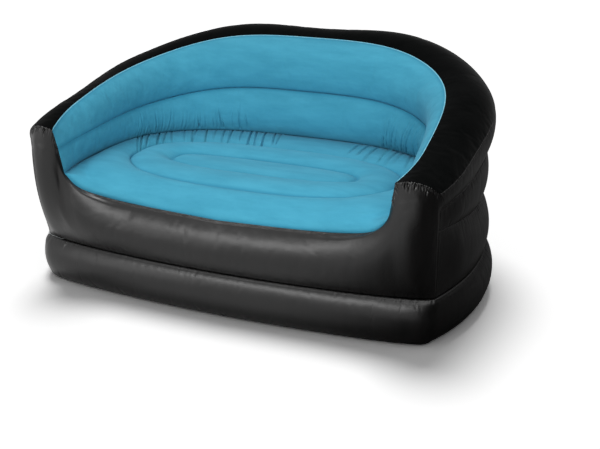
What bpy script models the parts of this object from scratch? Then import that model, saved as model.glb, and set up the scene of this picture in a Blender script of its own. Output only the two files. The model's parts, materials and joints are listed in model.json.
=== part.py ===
"""Two-seat inflatable sofa: vinyl sheets welded into a base, a seat and a wrap-round back, with two valves.

Metres, +Z up. The origin is on the ground under the middle of the sofa, and the seat faces -Y.
"""
import bpy
import numpy as np
from math import pi
from mathutils import Matrix, Vector

# Welded sheet
SHEET_THICKNESS = 0.0005
WELD_GAP = 0.0003
WEB_CLEARANCE = 0.0015

# Plans of the welded lines: front corner, half width, where it is widest, and the middle of the back
FRONT_CORNER_X = 0.688
FRONT_CORNER_Y = -0.432
WIDEST_Y = -0.127
PINCH_HALF_WIDTH = 0.743
LOWER_WAIST_HALF_WIDTH = 0.721
UPPER_WAIST_HALF_WIDTH = 0.726
OUTER_BACK_Y = 0.447
CONTACT_CORNER_X = 0.664
CONTACT_CORNER_Y = -0.447
CONTACT_HALF_WIDTH = 0.744
CONTACT_BACK_Y = 0.411
RIM_HALF_WIDTH = 0.606
RIM_WIDEST_Y = -0.319
RIM_BACK_Y = 0.316
TIER_HALF_WIDTH = 0.568
TIER_WIDEST_Y = -0.289
TIER_BACK_Y = 0.257
SEAT_HALF_WIDTH = 0.592
SEAT_WIDEST_Y = -0.274
SEAT_BACK_Y = 0.243
OUTER_ROUNDNESS = 2.6
INNER_ROUNDNESS = 3.0
CONTACT_ROUNDNESS = 2.2

# Bow of the front, between the two front corners
FRONT_BOW = 0.082
CONTACT_BOW = 0.062
BOW_ALONG = 1.8
BOW_ACROSS = 1.72

# Heights of the welded lines at the middle of the back, and evenly spaced shares of them that run
# from an arm's front end to there
PINCH_HEIGHT = 0.150
LOWER_WAIST_HEIGHT = 0.340
UPPER_WAIST_HEIGHT = 0.486
RIM_HEIGHT = 0.743
TIER_HEIGHT = 0.555
SEAT_HEIGHT = 0.387
LOWER_WAIST_SHARES = (1.065, 0.941, 1.003, 1.0)
UPPER_WAIST_SHARES = (0.889, 0.971, 0.955, 1.0)
RIM_SHARES = (0.713, 0.817, 0.903, 0.985, 1.0)
TIER_SHARES = (0.850, 0.886, 0.933, 0.991, 1.0)
SEAT_SHARES = (1.028, 1.0, 1.0)

# The front panel's top edge: out along the seat from the middle, then up the arm's inner side
SEAT_EDGE_HEIGHT = 0.312
SEAT_EDGE_Y = -0.481
SEAT_EDGE_HALF_WIDTH = 0.553
SEAT_CORNER_Y = -0.493
TIER_CORNER_X = 0.565
TIER_CORNER_Y = -0.499
RIM_CORNER_X = 0.574
RIM_CORNER_Y = -0.509
SEAT_EDGE_WIDTH_SHARES = (0.0, 0.488, 0.760, 0.922)
SEAT_EDGE_DEPTH_SHARES = (1.0, 0.979, 0.979, 1.0)
SEAT_EDGE_RISE_SHARES = (0.0, 0.07, 0.21, 0.49)

# How far each inflated panel stands out from the straight line between its welds, at the middle
# of the back, and shares of it from an arm's front end
BASE_SWELL = 0.032
LOWER_TUBE_SWELL = 0.018
MIDDLE_TUBE_SWELL = 0.013
TOP_TUBE_SWELL = 0.154
UPPER_TIER_SWELL = 0.030
LOWER_TIER_SWELL = 0.022
TOP_TUBE_SWELL_SHARES = (0.416, 0.390, 0.720, 1.143, 1.0)
TIER_SWELL_SHARES = (0.0, 0.65, 0.84, 1.0)
FRONT_SWELL = 0.034
RISER_SWELL = 0.014
ARM_END_SHARE = 0.10

# Welded ovals in the seat
OUTER_OVAL_HALF_LENGTH = 0.480
OUTER_OVAL_HALF_DEPTH = 0.205
OUTER_OVAL_Y = -0.169
INNER_OVAL_HALF_LENGTH = 0.335
INNER_OVAL_HALF_DEPTH = 0.068
INNER_OVAL_Y = -0.149
OUTER_OVAL_HEIGHT = 0.380
INNER_OVAL_HEIGHT = 0.377
OUTER_OVAL_POWER = 2.6
INNER_OVAL_POWER = 2.0
SEAT_BORDER_SWELL = 0.016
SEAT_RING_SWELL = 0.012
SEAT_MIDDLE_SWELL = 0.008

# Valve, along its own axis from the sheet's outer face
VALVE_HOLE_RADIUS = 0.0150
VALVE_CLEARANCE = 0.0003
VALVE_FLANGE_RADIUS = 0.0210
VALVE_FLANGE_THICKNESS = 0.0020
VALVE_NECK_DEPTH = 0.0120
VALVE_BORE_RADIUS = 0.0115
SHEET_UNEVENNESS = 0.0004
GASKET_THICKNESS = 0.0015
GASKET_WIDTH = 0.0045
PLUG_HEAD_RADIUS = 0.0180
PLUG_HEAD_THICKNESS = 0.0060
PLUG_SHANK_DEPTH = 0.0140
AIR_PASSAGE_RADIUS = 0.0070
CAP_RADIUS = 0.0105
CAP_THICKNESS = 0.0022
CAP_STOPPER_DEPTH = 0.0050
CAP_STOPPER_TIP_RADIUS = 0.0050
CAP_STRAP_WIDTH = 0.0050
CAP_HINGE_DISTANCE = 0.0145
CAP_HINGE_RADIUS = 0.0011
EAR_THICKNESS = 0.0018
EAR_DEPTH = 0.0024
FLAP_THICKNESS = 0.0008
FLAP_MARGIN = 0.0018
CUT_OVERRUN = 0.0100
MERGE_DISTANCE = 0.00001
ROWS_BELOW_VALVE_COUNT = 2
BASE_VALVE_COLUMNS_COUNT = 2
SEAT_VALVE_COLUMNS_COUNT = 3

# Mesh fineness, and where the rows and columns of the sheets lie
AROUND_COUNT = 15
SEAT_EDGE_COUNT = 7
ARM_EDGE_COUNT = 3
WALL_ROW_SHARES = (0.0, 0.14, 0.34, 0.66, 0.86, 1.0)
MIDDLE_ROW_SHARES = (0.0, 0.25, 0.5, 0.75, 1.0)
TIER_ROW_SHARES = (0.0, 0.3, 0.65, 1.0)
SIDE_SEAM_SHARE = 0.33
TOP_SIDE_ROW_SHARES = (0.0, 0.16, SIDE_SEAM_SHARE)
RIM_ROW_SHARES = (SIDE_SEAM_SHARE, 0.46, 0.59, 0.72, 0.86, 1.0)
FRONT_ROW_SHARES = (0.0, 0.12, 0.30, 0.50, 0.70, 0.88, 1.0)
SEAT_COLUMNS_SHARE = 0.74
ARM_EDGE_COLUMNS_SHARE = 0.86
SEAT_BORDER_SHARES = (0.0, 0.25, 0.5, 0.75)
SEAT_RING_SHARES = (0.0, 0.33, 0.67)
SEAT_MIDDLE_SHARES = (0.0, 0.5)
TURNED_STEPS = 24
SMOOTH_COUNT = 400


def clear_scene():
    for old in list(bpy.data.objects):
        bpy.data.objects.remove(old, do_unlink=True)


def new_collection(name):
    collection = bpy.data.collections.new(name)
    bpy.context.scene.collection.children.link(collection)
    return collection


def new_material(name, colour, roughness, metallic=0.0):
    material = bpy.data.materials.new(name)
    material.use_nodes = True
    shader = material.node_tree.nodes["Principled BSDF"]
    shader.inputs["Base Color"].default_value = (*colour, 1.0)
    shader.inputs["Roughness"].default_value = roughness
    shader.inputs["Metallic"].default_value = metallic
    return material


def evenly_spaced(points, count):
    """The same route with its points at equal distances."""
    steps = np.linalg.norm(np.diff(points, axis=0), axis=1)
    travelled = np.concatenate([[0.0], np.cumsum(steps)])
    places = np.linspace(0.0, travelled[-1], count)
    return np.stack([np.interp(places, travelled, points[:, k]) for k in range(points.shape[1])], axis=1)


def smooth_through(values, count):
    """A smooth curve through evenly spaced values or points."""
    values = np.array(values, dtype=float)
    padded = np.concatenate([[2 * values[0] - values[1]], values, [values[-2]]])
    places = np.linspace(0, len(values) - 1, count)
    index = np.minimum(places.astype(int), len(values) - 2)
    part = places - index
    if values.ndim > 1:
        part = part[:, None]
    before, start, end, after = (padded[index + k] for k in range(4))
    slope = (end - before) / 2
    bend = before - 2.5 * start + 2 * end - after / 2
    twist = (after - before) / 2 + 1.5 * (start - end)
    return start + part * (slope + part * (bend + part * twist))


def side_line(corner, half_width, widest_y, back_y, roundness, height, height_shares=(1.0, 1.0)):
    """Right half of a welded line, from the arm's front end round to the middle of the back."""
    corner_x, corner_y = corner
    side_y = np.linspace(corner_y, widest_y, SMOOTH_COUNT)
    from_widest = (widest_y - side_y) / (widest_y - corner_y)
    side = np.stack([half_width - (half_width - corner_x) * from_widest ** 2, side_y], axis=1)
    turn = np.linspace(0.0, pi / 2, SMOOTH_COUNT)[1:]
    back_x = half_width * np.maximum(np.cos(turn), 0.0) ** (2 / roundness)
    back_x[-1] = 0.0
    back = np.stack([back_x, widest_y + (back_y - widest_y) * np.sin(turn) ** (2 / roundness)], axis=1)
    plan = evenly_spaced(np.concatenate([side, back]), AROUND_COUNT)
    return np.column_stack([plan, height * smooth_through(height_shares, AROUND_COUNT)])


def front_line(corner, bow, height, places):
    """Right half of a bowed front line, at the given shares of the way from the middle to the corner."""
    corner_x, corner_y = corner
    x = corner_x * np.sin(np.linspace(0.0, pi / 2, SMOOTH_COUNT))
    inward = np.maximum(1 - (x / corner_x) ** BOW_ALONG, 0.0)
    line = np.column_stack([x, corner_y - bow * inward ** (1 / BOW_ACROSS), np.full(len(x), height)])
    steps = np.linalg.norm(np.diff(line, axis=0), axis=1)
    travelled = np.concatenate([[0.0], np.cumsum(steps)])
    wanted = np.array(places) * travelled[-1]
    return np.stack([np.interp(wanted, travelled, line[:, k]) for k in range(3)], axis=1)


def mirrored(points):
    return points * np.array([-1.0, 1.0, 1.0])


def whole(rows):
    """Both halves of rows whose last point lies on the middle plane, from right to left."""
    return np.concatenate([rows, mirrored(rows)[:, -2::-1]], axis=1)


def arc_rows(start, end, swell, shares):
    """Rows of points on circular arcs between two lines; swell is each arc's height."""
    chord = end - start
    length = np.linalg.norm(chord, axis=1)
    middle = (start + end) / 2
    along = np.gradient(middle, axis=0)
    on_middle_plane = np.abs(middle[:, 0]) < WELD_GAP
    along[on_middle_plane, 1:] = 0.0
    outward = np.cross(along, chord)
    outward /= np.linalg.norm(outward, axis=1)[:, None]
    height = np.maximum(swell, WELD_GAP)
    radius = length ** 2 / (8 * height) + height / 2
    half_angle = 2 * np.arctan2(2 * height, length)
    rows = []
    for share in shares:
        angle = (2 * share - 1) * half_angle
        forward = length / 2 + radius * np.sin(angle)
        lift = radius * np.cos(angle) - (radius - height)
        rows.append(start + chord / length[:, None] * forward[:, None] + outward * lift[:, None])
    return np.array(rows)


def faded(swell):
    """A swell that grows from nothing at the arm's front end."""
    place = np.clip(np.linspace(0.0, 1.0, AROUND_COUNT) / ARM_END_SHARE, 0.0, 1.0)
    return swell * place ** 2 * (3 - 2 * place)


def trimmed(grid, first_row=WELD_GAP, last_row=WELD_GAP, ends=SHEET_THICKNESS + WELD_GAP):
    """The grid with its borders drawn back by the given distances."""
    grid = np.array(grid)

    def draw_back(edge, inner, distance):
        step = inner - edge
        return edge + step * (distance / np.linalg.norm(step, axis=-1, keepdims=True))

    grid[0] = draw_back(grid[0], grid[1], first_row)
    grid[-1] = draw_back(grid[-1], grid[-2], last_row)
    if ends:
        grid[:, 0] = draw_back(grid[:, 0], grid[:, 1], ends)
        grid[:, -1] = draw_back(grid[:, -1], grid[:, -2], ends)
    return grid


def mesh_object(name, points, faces, material, collection):
    mesh = bpy.data.meshes.new(name)
    mesh.from_pydata([tuple(map(float, point)) for point in points], [], faces)
    mesh.materials.append(material)
    mesh.update()
    obj = bpy.data.objects.new(name, mesh)
    collection.objects.link(obj)
    return obj


def grid_faces(row_count, column_count, closed=False):
    faces = []
    for row in range(row_count - 1):
        for column in range(column_count if closed else column_count - 1):
            following = (column + 1) % column_count
            faces.append((row * column_count + column, row * column_count + following,
                          (row + 1) * column_count + following, (row + 1) * column_count + column))
    return faces


def thicken(obj):
    solidify = obj.modifiers.new("Thickness", "SOLIDIFY")
    solidify.thickness = SHEET_THICKNESS
    solidify.offset = -1.0
    return obj


def grid_sheet(name, grid, material, collection, closed=False):
    """A sheet over rows of points, thickened on the side away from its outer face."""
    rows, columns = grid.shape[:2]
    faces = grid_faces(rows, columns, closed)
    return thicken(mesh_object(name, grid.reshape(-1, 3), faces, material, collection))


def flat_sheet(name, outline, material, collection):
    """A flat sheet inside a closed outline, with its outer face up."""
    return thicken(mesh_object(name, outline, [tuple(range(len(outline)))], material, collection))


def drawn_in(outline, distance):
    """A closed outline in plan moved towards its inside."""
    ahead = np.roll(outline, -1, axis=0) - np.roll(outline, 1, axis=0)
    inward = np.column_stack([-ahead[:, 1], ahead[:, 0], np.zeros(len(outline))])
    inward /= np.linalg.norm(inward, axis=1)[:, None]
    return outline + inward * distance


def oval_at(angles, half_length, half_depth, centre_y, power, height, seat_centre):
    """Points of a welded oval where the rays from the seat's centre meet it."""
    turn = np.linspace(-pi, pi, SMOOTH_COUNT)
    x = half_length * np.sign(np.cos(turn)) * np.abs(np.cos(turn)) ** (2 / power)
    y = centre_y + half_depth * np.sign(np.sin(turn)) * np.abs(np.sin(turn)) ** (2 / power)
    ray = np.arctan2(y - seat_centre, x)
    order = np.argsort(ray)
    wrapped = np.concatenate([ray[order] - 2 * pi, ray[order], ray[order] + 2 * pi])
    xs = np.interp(angles, wrapped, np.tile(x[order], 3))
    ys = np.interp(angles, wrapped, np.tile(y[order], 3))
    return np.column_stack([xs, ys, np.full(len(angles), height)])


def ring_rows(outer, inner, swell, shares):
    """Rows between two closed rings, crowned upwards."""
    rows = []
    for share in shares:
        rise = 4 * share * (1 - share) * swell
        rows.append(outer + (inner - outer) * share + np.array([0.0, 0.0, 1.0]) * rise)
    return rows


def turned(name, profile, material, collection, frame, ring=True):
    """A profile of (radius, height) points turned about its own axis."""
    points = [(radius, 0.0, height) for radius, height in profile]
    edges = [(k, k + 1) for k in range(len(points) - 1)]
    if ring:
        edges.append((len(points) - 1, 0))
    mesh = bpy.data.meshes.new(name)
    mesh.from_pydata(points, edges, [])
    mesh.materials.append(material)
    obj = bpy.data.objects.new(name, mesh)
    collection.objects.link(obj)
    screw = obj.modifiers.new("Turn", "SCREW")
    screw.angle = 2 * pi
    screw.steps = TURNED_STEPS
    screw.render_steps = TURNED_STEPS
    screw.use_merge_vertices = True
    screw.merge_threshold = MERGE_DISTANCE
    obj.matrix_world = frame
    return obj


def tool_object(obj, name, cutters):
    """Files a cutting or joining shape away from the parts."""
    obj.name = name
    obj.hide_render = True
    obj.display_type = "WIRE"
    for collection in list(obj.users_collection):
        collection.objects.unlink(obj)
    cutters.objects.link(obj)
    return obj


def box_tool(name, low, high, frame, cutters):
    bpy.ops.mesh.primitive_cube_add(size=1.0)
    obj = bpy.context.object
    size = [high[k] - low[k] for k in range(3)]
    centre = [(high[k] + low[k]) / 2 for k in range(3)]
    obj.data.transform(Matrix.Translation(centre) @ Matrix.Diagonal((*size, 1.0)))
    obj.matrix_world = frame
    return tool_object(obj, name, cutters)


def cylinder_tool(name, radius, low, high, frame, cutters, steps):
    bpy.ops.mesh.primitive_cylinder_add(vertices=steps, radius=radius, depth=high - low)
    obj = bpy.context.object
    obj.data.transform(Matrix.Translation((0.0, 0.0, (high + low) / 2)))
    obj.matrix_world = frame
    return tool_object(obj, name, cutters)


def add_boolean(obj, tool, operation):
    modifier = obj.modifiers.new(tool.name, "BOOLEAN")
    modifier.operation = operation
    modifier.solver = "EXACT"
    modifier.object = tool


def closed_half_rows(rows):
    """Rows that run from the front's middle to the back's middle, closed over the left side."""
    return np.concatenate([rows, mirrored(rows)[:, -2:0:-1]], axis=1)


def front_columns(seat_corner, tier_corner, rim_corner):
    """Top points of the front panel's right half up to the arm's top, and every column's place below."""
    seat_edge = np.column_stack([
        SEAT_EDGE_HALF_WIDTH * np.array(SEAT_EDGE_WIDTH_SHARES),
        SEAT_EDGE_Y * np.array(SEAT_EDGE_DEPTH_SHARES),
        SEAT_EDGE_HEIGHT + (seat_corner[2] - SEAT_EDGE_HEIGHT) * np.array(SEAT_EDGE_RISE_SHARES)])
    seat_edge = smooth_through(np.vstack([seat_edge, seat_corner]), SMOOTH_COUNT)
    seat_edge = evenly_spaced(seat_edge, SEAT_EDGE_COUNT)
    lower_arm = np.linspace(seat_corner, tier_corner, ARM_EDGE_COUNT)
    upper_arm = np.linspace(tier_corner, rim_corner, ARM_EDGE_COUNT)
    top = np.concatenate([seat_edge, lower_arm[1:], upper_arm[1:]])
    seat_places = np.linspace(0.0, SEAT_COLUMNS_SHARE, SEAT_EDGE_COUNT)
    arm_places = np.linspace(SEAT_COLUMNS_SHARE, ARM_EDGE_COLUMNS_SHARE, 2 * ARM_EDGE_COUNT - 1)
    riser_places = np.linspace(ARM_EDGE_COLUMNS_SHARE, 1.0, len(RIM_ROW_SHARES))
    return seat_edge, top, np.concatenate([seat_places, arm_places[1:], riser_places[1:]])


def front_grid(bottom, top, arm_end, corner_line):
    """Rows of the front panel's right half, swollen forwards and round the arm's end."""
    top = np.concatenate([top, arm_end])
    across = np.zeros(len(top))
    across[-len(arm_end):] = np.linspace(0.0, 1.0, len(arm_end) + 1)[1:]
    along = np.gradient(bottom, axis=0)
    forward = np.column_stack([along[:, 1], -along[:, 0], np.zeros(len(along))])
    forward /= np.linalg.norm(forward, axis=1)[:, None]
    corner = evenly_spaced(corner_line, SMOOTH_COUNT)
    rows = []
    for share in FRONT_ROW_SHARES:
        swell = FRONT_SWELL * (1 - across) ** 2 * 4 * share * (1 - share)
        swell += RISER_SWELL * np.sin(pi * across) * (1 - share ** 4) * (1 - (1 - share) ** 4)
        row = bottom + (top - bottom) * share + forward * swell[:, None]
        row[-1] = corner[round(share * (SMOOTH_COUNT - 1))]
        rows.append(row)
    return np.array(rows)


def seat_sheet(border, material, collection):
    """The seat's top sheet, crowned between its border and two welded ovals."""
    seat_centre = (OUTER_OVAL_Y + INNER_OVAL_Y) / 2
    angles = np.arctan2(border[:, 1] - seat_centre, border[:, 0])
    outer = oval_at(angles, OUTER_OVAL_HALF_LENGTH, OUTER_OVAL_HALF_DEPTH, OUTER_OVAL_Y,
                    OUTER_OVAL_POWER, OUTER_OVAL_HEIGHT, seat_centre)
    inner = oval_at(angles, INNER_OVAL_HALF_LENGTH, INNER_OVAL_HALF_DEPTH, INNER_OVAL_Y,
                    INNER_OVAL_POWER, INNER_OVAL_HEIGHT, seat_centre)
    spine = inner * np.array([1.0, 0.0, 1.0]) + np.array([0.0, INNER_OVAL_Y, 0.0])
    rows = ring_rows(border, outer, SEAT_BORDER_SWELL, SEAT_BORDER_SHARES)
    rows += ring_rows(outer, inner, SEAT_RING_SWELL, SEAT_RING_SHARES)
    rows += ring_rows(inner, spine, SEAT_MIDDLE_SWELL, SEAT_MIDDLE_SHARES)
    rows = trimmed(np.array(rows), last_row=0.0, ends=0.0)
    count = len(border)
    faces = grid_faces(len(rows), count, closed=True)
    faces += ladder_faces((len(rows) - 1) * count, count)
    thicken(mesh_object("seat_top_sheet", rows.reshape(-1, 3), faces, material, collection))
    return outer, inner


def ladder_faces(first, count):
    """Faces that close a ring which is symmetric about the middle plane."""
    faces = []
    half = count // 2
    for k in range(half):
        right = first + k
        right_next = first + k + 1
        left = first + (count - k) % count
        left_next = first + count - k - 1
        corners = []
        for index in (right, right_next, left_next, left):
            if index not in corners:
                corners.append(index)
        if len(corners) > 2:
            faces.append(tuple(corners))
    return faces


def valve(name, grid, column, sofa, cutters, plastic, rubber, sheet):
    """A screw valve in the middle facet of a sheet: seat, gasket, plug, cap and inner flap."""
    low, high = grid[ROWS_BELOW_VALVE_COUNT], grid[ROWS_BELOW_VALVE_COUNT + 1]
    quad = [low[column], low[column + 1], high[column + 1], high[column]]
    centre = Vector(np.mean(quad, axis=0))
    out = Vector(np.cross(quad[2] - quad[0], quad[3] - quad[1])).normalized()
    across = Vector((0.0, 0.0, 1.0)).cross(out).normalized()
    up = out.cross(across)
    frame = Matrix.Translation(centre) @ Matrix((across, up, out)).transposed().to_4x4()

    hole = cylinder_tool(name + "_hole", VALVE_HOLE_RADIUS, -CUT_OVERRUN, CUT_OVERRUN, frame, cutters,
                         TURNED_STEPS)
    add_boolean(sheet, hole, "DIFFERENCE")

    flange_low = SHEET_UNEVENNESS
    flange_high = flange_low + VALVE_FLANGE_THICKNESS
    neck_radius = VALVE_HOLE_RADIUS - VALVE_CLEARANCE
    turned(name + "_seat", [
        (VALVE_FLANGE_RADIUS, flange_high), (VALVE_FLANGE_RADIUS, flange_low), (neck_radius, flange_low),
        (neck_radius, -VALVE_NECK_DEPTH), (VALVE_BORE_RADIUS, -VALVE_NECK_DEPTH),
        (VALVE_BORE_RADIUS, flange_high)], plastic, sofa, frame)

    gasket_low = flange_high + VALVE_CLEARANCE
    gasket_high = gasket_low + GASKET_THICKNESS
    gasket_radius = VALVE_BORE_RADIUS + GASKET_WIDTH
    turned(name + "_gasket", [
        (gasket_radius, gasket_high), (gasket_radius, gasket_low), (VALVE_BORE_RADIUS, gasket_low),
        (VALVE_BORE_RADIUS, gasket_high)], rubber, sofa, frame)

    head_low = gasket_high + VALVE_CLEARANCE
    head_high = head_low + PLUG_HEAD_THICKNESS
    shank_radius = VALVE_BORE_RADIUS - VALVE_CLEARANCE
    plug = turned(name + "_plug", [
        (PLUG_HEAD_RADIUS, head_high), (PLUG_HEAD_RADIUS, head_low), (shank_radius, head_low),
        (shank_radius, -PLUG_SHANK_DEPTH), (AIR_PASSAGE_RADIUS, -PLUG_SHANK_DEPTH),
        (AIR_PASSAGE_RADIUS, head_high)], plastic, sofa, frame)

    hinge_height = head_high + VALVE_CLEARANCE + CAP_HINGE_RADIUS
    cap_frame = frame @ Matrix.Translation((0.0, CAP_HINGE_DISTANCE, hinge_height))
    ear_start = CAP_STRAP_WIDTH / 2 + VALVE_CLEARANCE
    for side, label in ((-1, "left"), (1, "right")):
        edges = sorted((side * ear_start, side * (ear_start + EAR_THICKNESS)))
        ear = box_tool(name + "_ear_" + label,
                       (edges[0], CAP_HINGE_DISTANCE - EAR_DEPTH / 2, head_high - EAR_DEPTH / 2),
                       (edges[1], CAP_HINGE_DISTANCE + EAR_DEPTH / 2, hinge_height + CAP_HINGE_RADIUS),
                       frame, cutters)
        add_boolean(plug, ear, "UNION")

    cap_low = head_high + VALVE_CLEARANCE
    cap_high = cap_low + CAP_THICKNESS
    stopper_radius = AIR_PASSAGE_RADIUS - VALVE_CLEARANCE
    stopper_tip = head_high - CAP_STOPPER_DEPTH
    cap = turned(name + "_cap", [
        (0.0, cap_high), (CAP_RADIUS, cap_high), (CAP_RADIUS, cap_low), (stopper_radius, cap_low),
        (stopper_radius, head_high), (CAP_STOPPER_TIP_RADIUS, stopper_tip), (0.0, stopper_tip)],
        rubber, sofa, frame, ring=False)
    rebase(cap, cap_frame)
    strap = box_tool(name + "_strap", (-CAP_STRAP_WIDTH / 2, -CAP_HINGE_DISTANCE, -CAP_HINGE_RADIUS),
                     (CAP_STRAP_WIDTH / 2, 0.0, CAP_HINGE_RADIUS / 2), cap_frame, cutters)
    barrel = cylinder_tool(name + "_barrel", CAP_HINGE_RADIUS, -CAP_STRAP_WIDTH / 2, CAP_STRAP_WIDTH / 2,
                           cap_frame @ Matrix.Rotation(pi / 2, 4, "Y"), cutters, TURNED_STEPS // 2)
    add_boolean(cap, strap, "UNION")
    add_boolean(cap, barrel, "UNION")

    flap_radius = AIR_PASSAGE_RADIUS + FLAP_MARGIN
    flap_high = -PLUG_SHANK_DEPTH - VALVE_CLEARANCE
    flap_frame = frame @ Matrix.Translation((0.0, flap_radius, flap_high))
    flap = turned(name + "_flap", [
        (0.0, flap_high), (flap_radius, flap_high), (flap_radius, flap_high - FLAP_THICKNESS),
        (0.0, flap_high - FLAP_THICKNESS)], rubber, sofa, frame, ring=False)
    rebase(flap, flap_frame)


def rebase(obj, frame):
    """Applies an object's modifiers and moves its origin to another frame."""
    evaluated = obj.evaluated_get(bpy.context.evaluated_depsgraph_get())
    mesh = bpy.data.meshes.new_from_object(evaluated)
    mesh.transform(frame.inverted() @ obj.matrix_world)
    obj.modifiers.clear()
    obj.data = mesh
    obj.matrix_world = frame


def main():
    clear_scene()
    sofa = new_collection("inflatable_sofa")
    cutters = new_collection("cutters")
    black = new_material("black_vinyl", (0.012, 0.012, 0.013), 0.32)
    blue = new_material("blue_flocked_vinyl", (0.055, 0.31, 0.45), 0.9)
    clear = new_material("translucent_web_vinyl", (0.6, 0.62, 0.63), 0.3)
    plastic = new_material("black_valve_plastic", (0.02, 0.02, 0.02), 0.4)
    rubber = new_material("grey_valve_rubber", (0.12, 0.12, 0.12), 0.7)

    # Welded lines, right halves from the arm's front end to the middle of the back
    corner = (FRONT_CORNER_X, FRONT_CORNER_Y)
    contact_corner = (CONTACT_CORNER_X, CONTACT_CORNER_Y)
    contact = side_line(contact_corner, CONTACT_HALF_WIDTH, WIDEST_Y, CONTACT_BACK_Y,
                        CONTACT_ROUNDNESS, 0.0)
    pinch = side_line(corner, PINCH_HALF_WIDTH, WIDEST_Y, OUTER_BACK_Y, OUTER_ROUNDNESS, PINCH_HEIGHT)
    lower_waist = side_line(corner, LOWER_WAIST_HALF_WIDTH, WIDEST_Y, OUTER_BACK_Y, OUTER_ROUNDNESS,
                            LOWER_WAIST_HEIGHT, LOWER_WAIST_SHARES)
    upper_waist = side_line(corner, UPPER_WAIST_HALF_WIDTH, WIDEST_Y, OUTER_BACK_Y, OUTER_ROUNDNESS,
                            UPPER_WAIST_HEIGHT, UPPER_WAIST_SHARES)
    rim = side_line((RIM_CORNER_X, RIM_CORNER_Y), RIM_HALF_WIDTH, RIM_WIDEST_Y, RIM_BACK_Y,
                    INNER_ROUNDNESS, RIM_HEIGHT, RIM_SHARES)
    tier = side_line((TIER_CORNER_X, TIER_CORNER_Y), TIER_HALF_WIDTH, TIER_WIDEST_Y, TIER_BACK_Y,
                     INNER_ROUNDNESS, TIER_HEIGHT, TIER_SHARES)
    seat = side_line((SEAT_EDGE_HALF_WIDTH, SEAT_CORNER_Y), SEAT_HALF_WIDTH, SEAT_WIDEST_Y, SEAT_BACK_Y,
                     INNER_ROUNDNESS, SEAT_HEIGHT, SEAT_SHARES)

    # Outer side and back: three tubes above the base
    lower_grid = trimmed(whole(arc_rows(pinch, lower_waist, faded(LOWER_TUBE_SWELL), WALL_ROW_SHARES)))
    lower_tube = grid_sheet("lower_tube_sheet", lower_grid, black, sofa)
    middle_grid = arc_rows(lower_waist, upper_waist, faded(MIDDLE_TUBE_SWELL), MIDDLE_ROW_SHARES)
    grid_sheet("middle_tube_sheet", trimmed(whole(middle_grid)), black, sofa)
    top_swell = TOP_TUBE_SWELL * smooth_through(TOP_TUBE_SWELL_SHARES, AROUND_COUNT)
    side_grid = arc_rows(upper_waist, rim, top_swell, TOP_SIDE_ROW_SHARES)
    grid_sheet("top_tube_side_sheet", trimmed(whole(side_grid)), black, sofa)
    rim_grid = arc_rows(upper_waist, rim, top_swell, RIM_ROW_SHARES)
    rim_sheet_grid = trimmed(whole(rim_grid), last_row=SHEET_THICKNESS + WELD_GAP)
    grid_sheet("top_tube_rim_sheet", rim_sheet_grid, black, sofa)

    # Inner back and arms: two tiers
    tier_swell_shares = smooth_through(TIER_SWELL_SHARES, AROUND_COUNT)
    upper_swell = UPPER_TIER_SWELL * tier_swell_shares
    lower_swell = LOWER_TIER_SWELL * tier_swell_shares
    upper_grid = arc_rows(rim, tier, upper_swell, TIER_ROW_SHARES)
    grid_sheet("upper_back_sheet", trimmed(whole(upper_grid)), blue, sofa)
    grid_sheet("lower_back_sheet", trimmed(whole(arc_rows(tier, seat, lower_swell, TIER_ROW_SHARES))),
               blue, sofa)

    # Front panel, wrapping up and round the arm ends
    seat_edge, top, places = front_columns(seat[0], tier[0], rim[0])
    arm_end = rim_grid[::-1, 0][1:]
    front_pinch = front_line(corner, FRONT_BOW, PINCH_HEIGHT, places)
    corner_line = np.array([pinch[0], lower_waist[0], upper_waist[0], side_grid[1][0], side_grid[2][0]])
    half_front = front_grid(front_pinch, top, arm_end, corner_line)
    full_front = np.concatenate([mirrored(half_front)[:, :0:-1], half_front], axis=1)
    grid_sheet("front_sheet", trimmed(full_front, ends=WELD_GAP), black, sofa)

    # Seat top with its two welded ovals
    half_border = np.concatenate([seat_edge, seat[1:]])
    border = closed_half_rows(half_border[None])[0]
    outer_oval, inner_oval = seat_sheet(border, blue, sofa)

    # Base wall and the flat sheets below and above it
    front_contact = front_line(contact_corner, CONTACT_BOW, 0.0, places)
    half_contact = np.concatenate([front_contact, contact[1:]])
    half_pinch = np.concatenate([front_pinch, pinch[1:]])
    base_grid = arc_rows(half_contact, half_pinch, np.full(len(half_pinch), BASE_SWELL), WALL_ROW_SHARES)
    base_grid = trimmed(closed_half_rows(base_grid), ends=0.0)
    base_wall = grid_sheet("base_wall_sheet", base_grid, black, sofa, closed=True)
    ground = closed_half_rows(half_contact[None])[0] + np.array([0.0, 0.0, SHEET_THICKNESS])
    flat_sheet("base_floor_sheet", drawn_in(ground, SHEET_THICKNESS + WELD_GAP), black, sofa)
    divide = closed_half_rows(half_pinch[None])[0] + np.array([0.0, 0.0, SHEET_THICKNESS / 2])
    flat_sheet("base_top_sheet", drawn_in(divide, WEB_CLEARANCE), clear, sofa)

    # Webs that hold the waists in and the seat down
    lower_web = np.array([seat, lower_waist])
    upper_web = np.array([tier, upper_waist])
    for name, web in (("lower_waist_web", lower_web), ("upper_waist_web", upper_web)):
        drawn = trimmed(whole(web), WEB_CLEARANCE, WEB_CLEARANCE, WEB_CLEARANCE)
        grid_sheet(name, drawn, clear, sofa)
    floor_height = PINCH_HEIGHT + SHEET_THICKNESS / 2 + WELD_GAP
    for name, oval in (("outer_oval_web", outer_oval), ("inner_oval_web", inner_oval)):
        foot = oval * np.array([1.0, 1.0, 0.0]) + np.array([0.0, 0.0, floor_height])
        head = oval - np.array([0.0, 0.0, SHEET_THICKNESS + WELD_GAP])
        grid_sheet(name, np.array([foot, head]), clear, sofa, closed=True)

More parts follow.
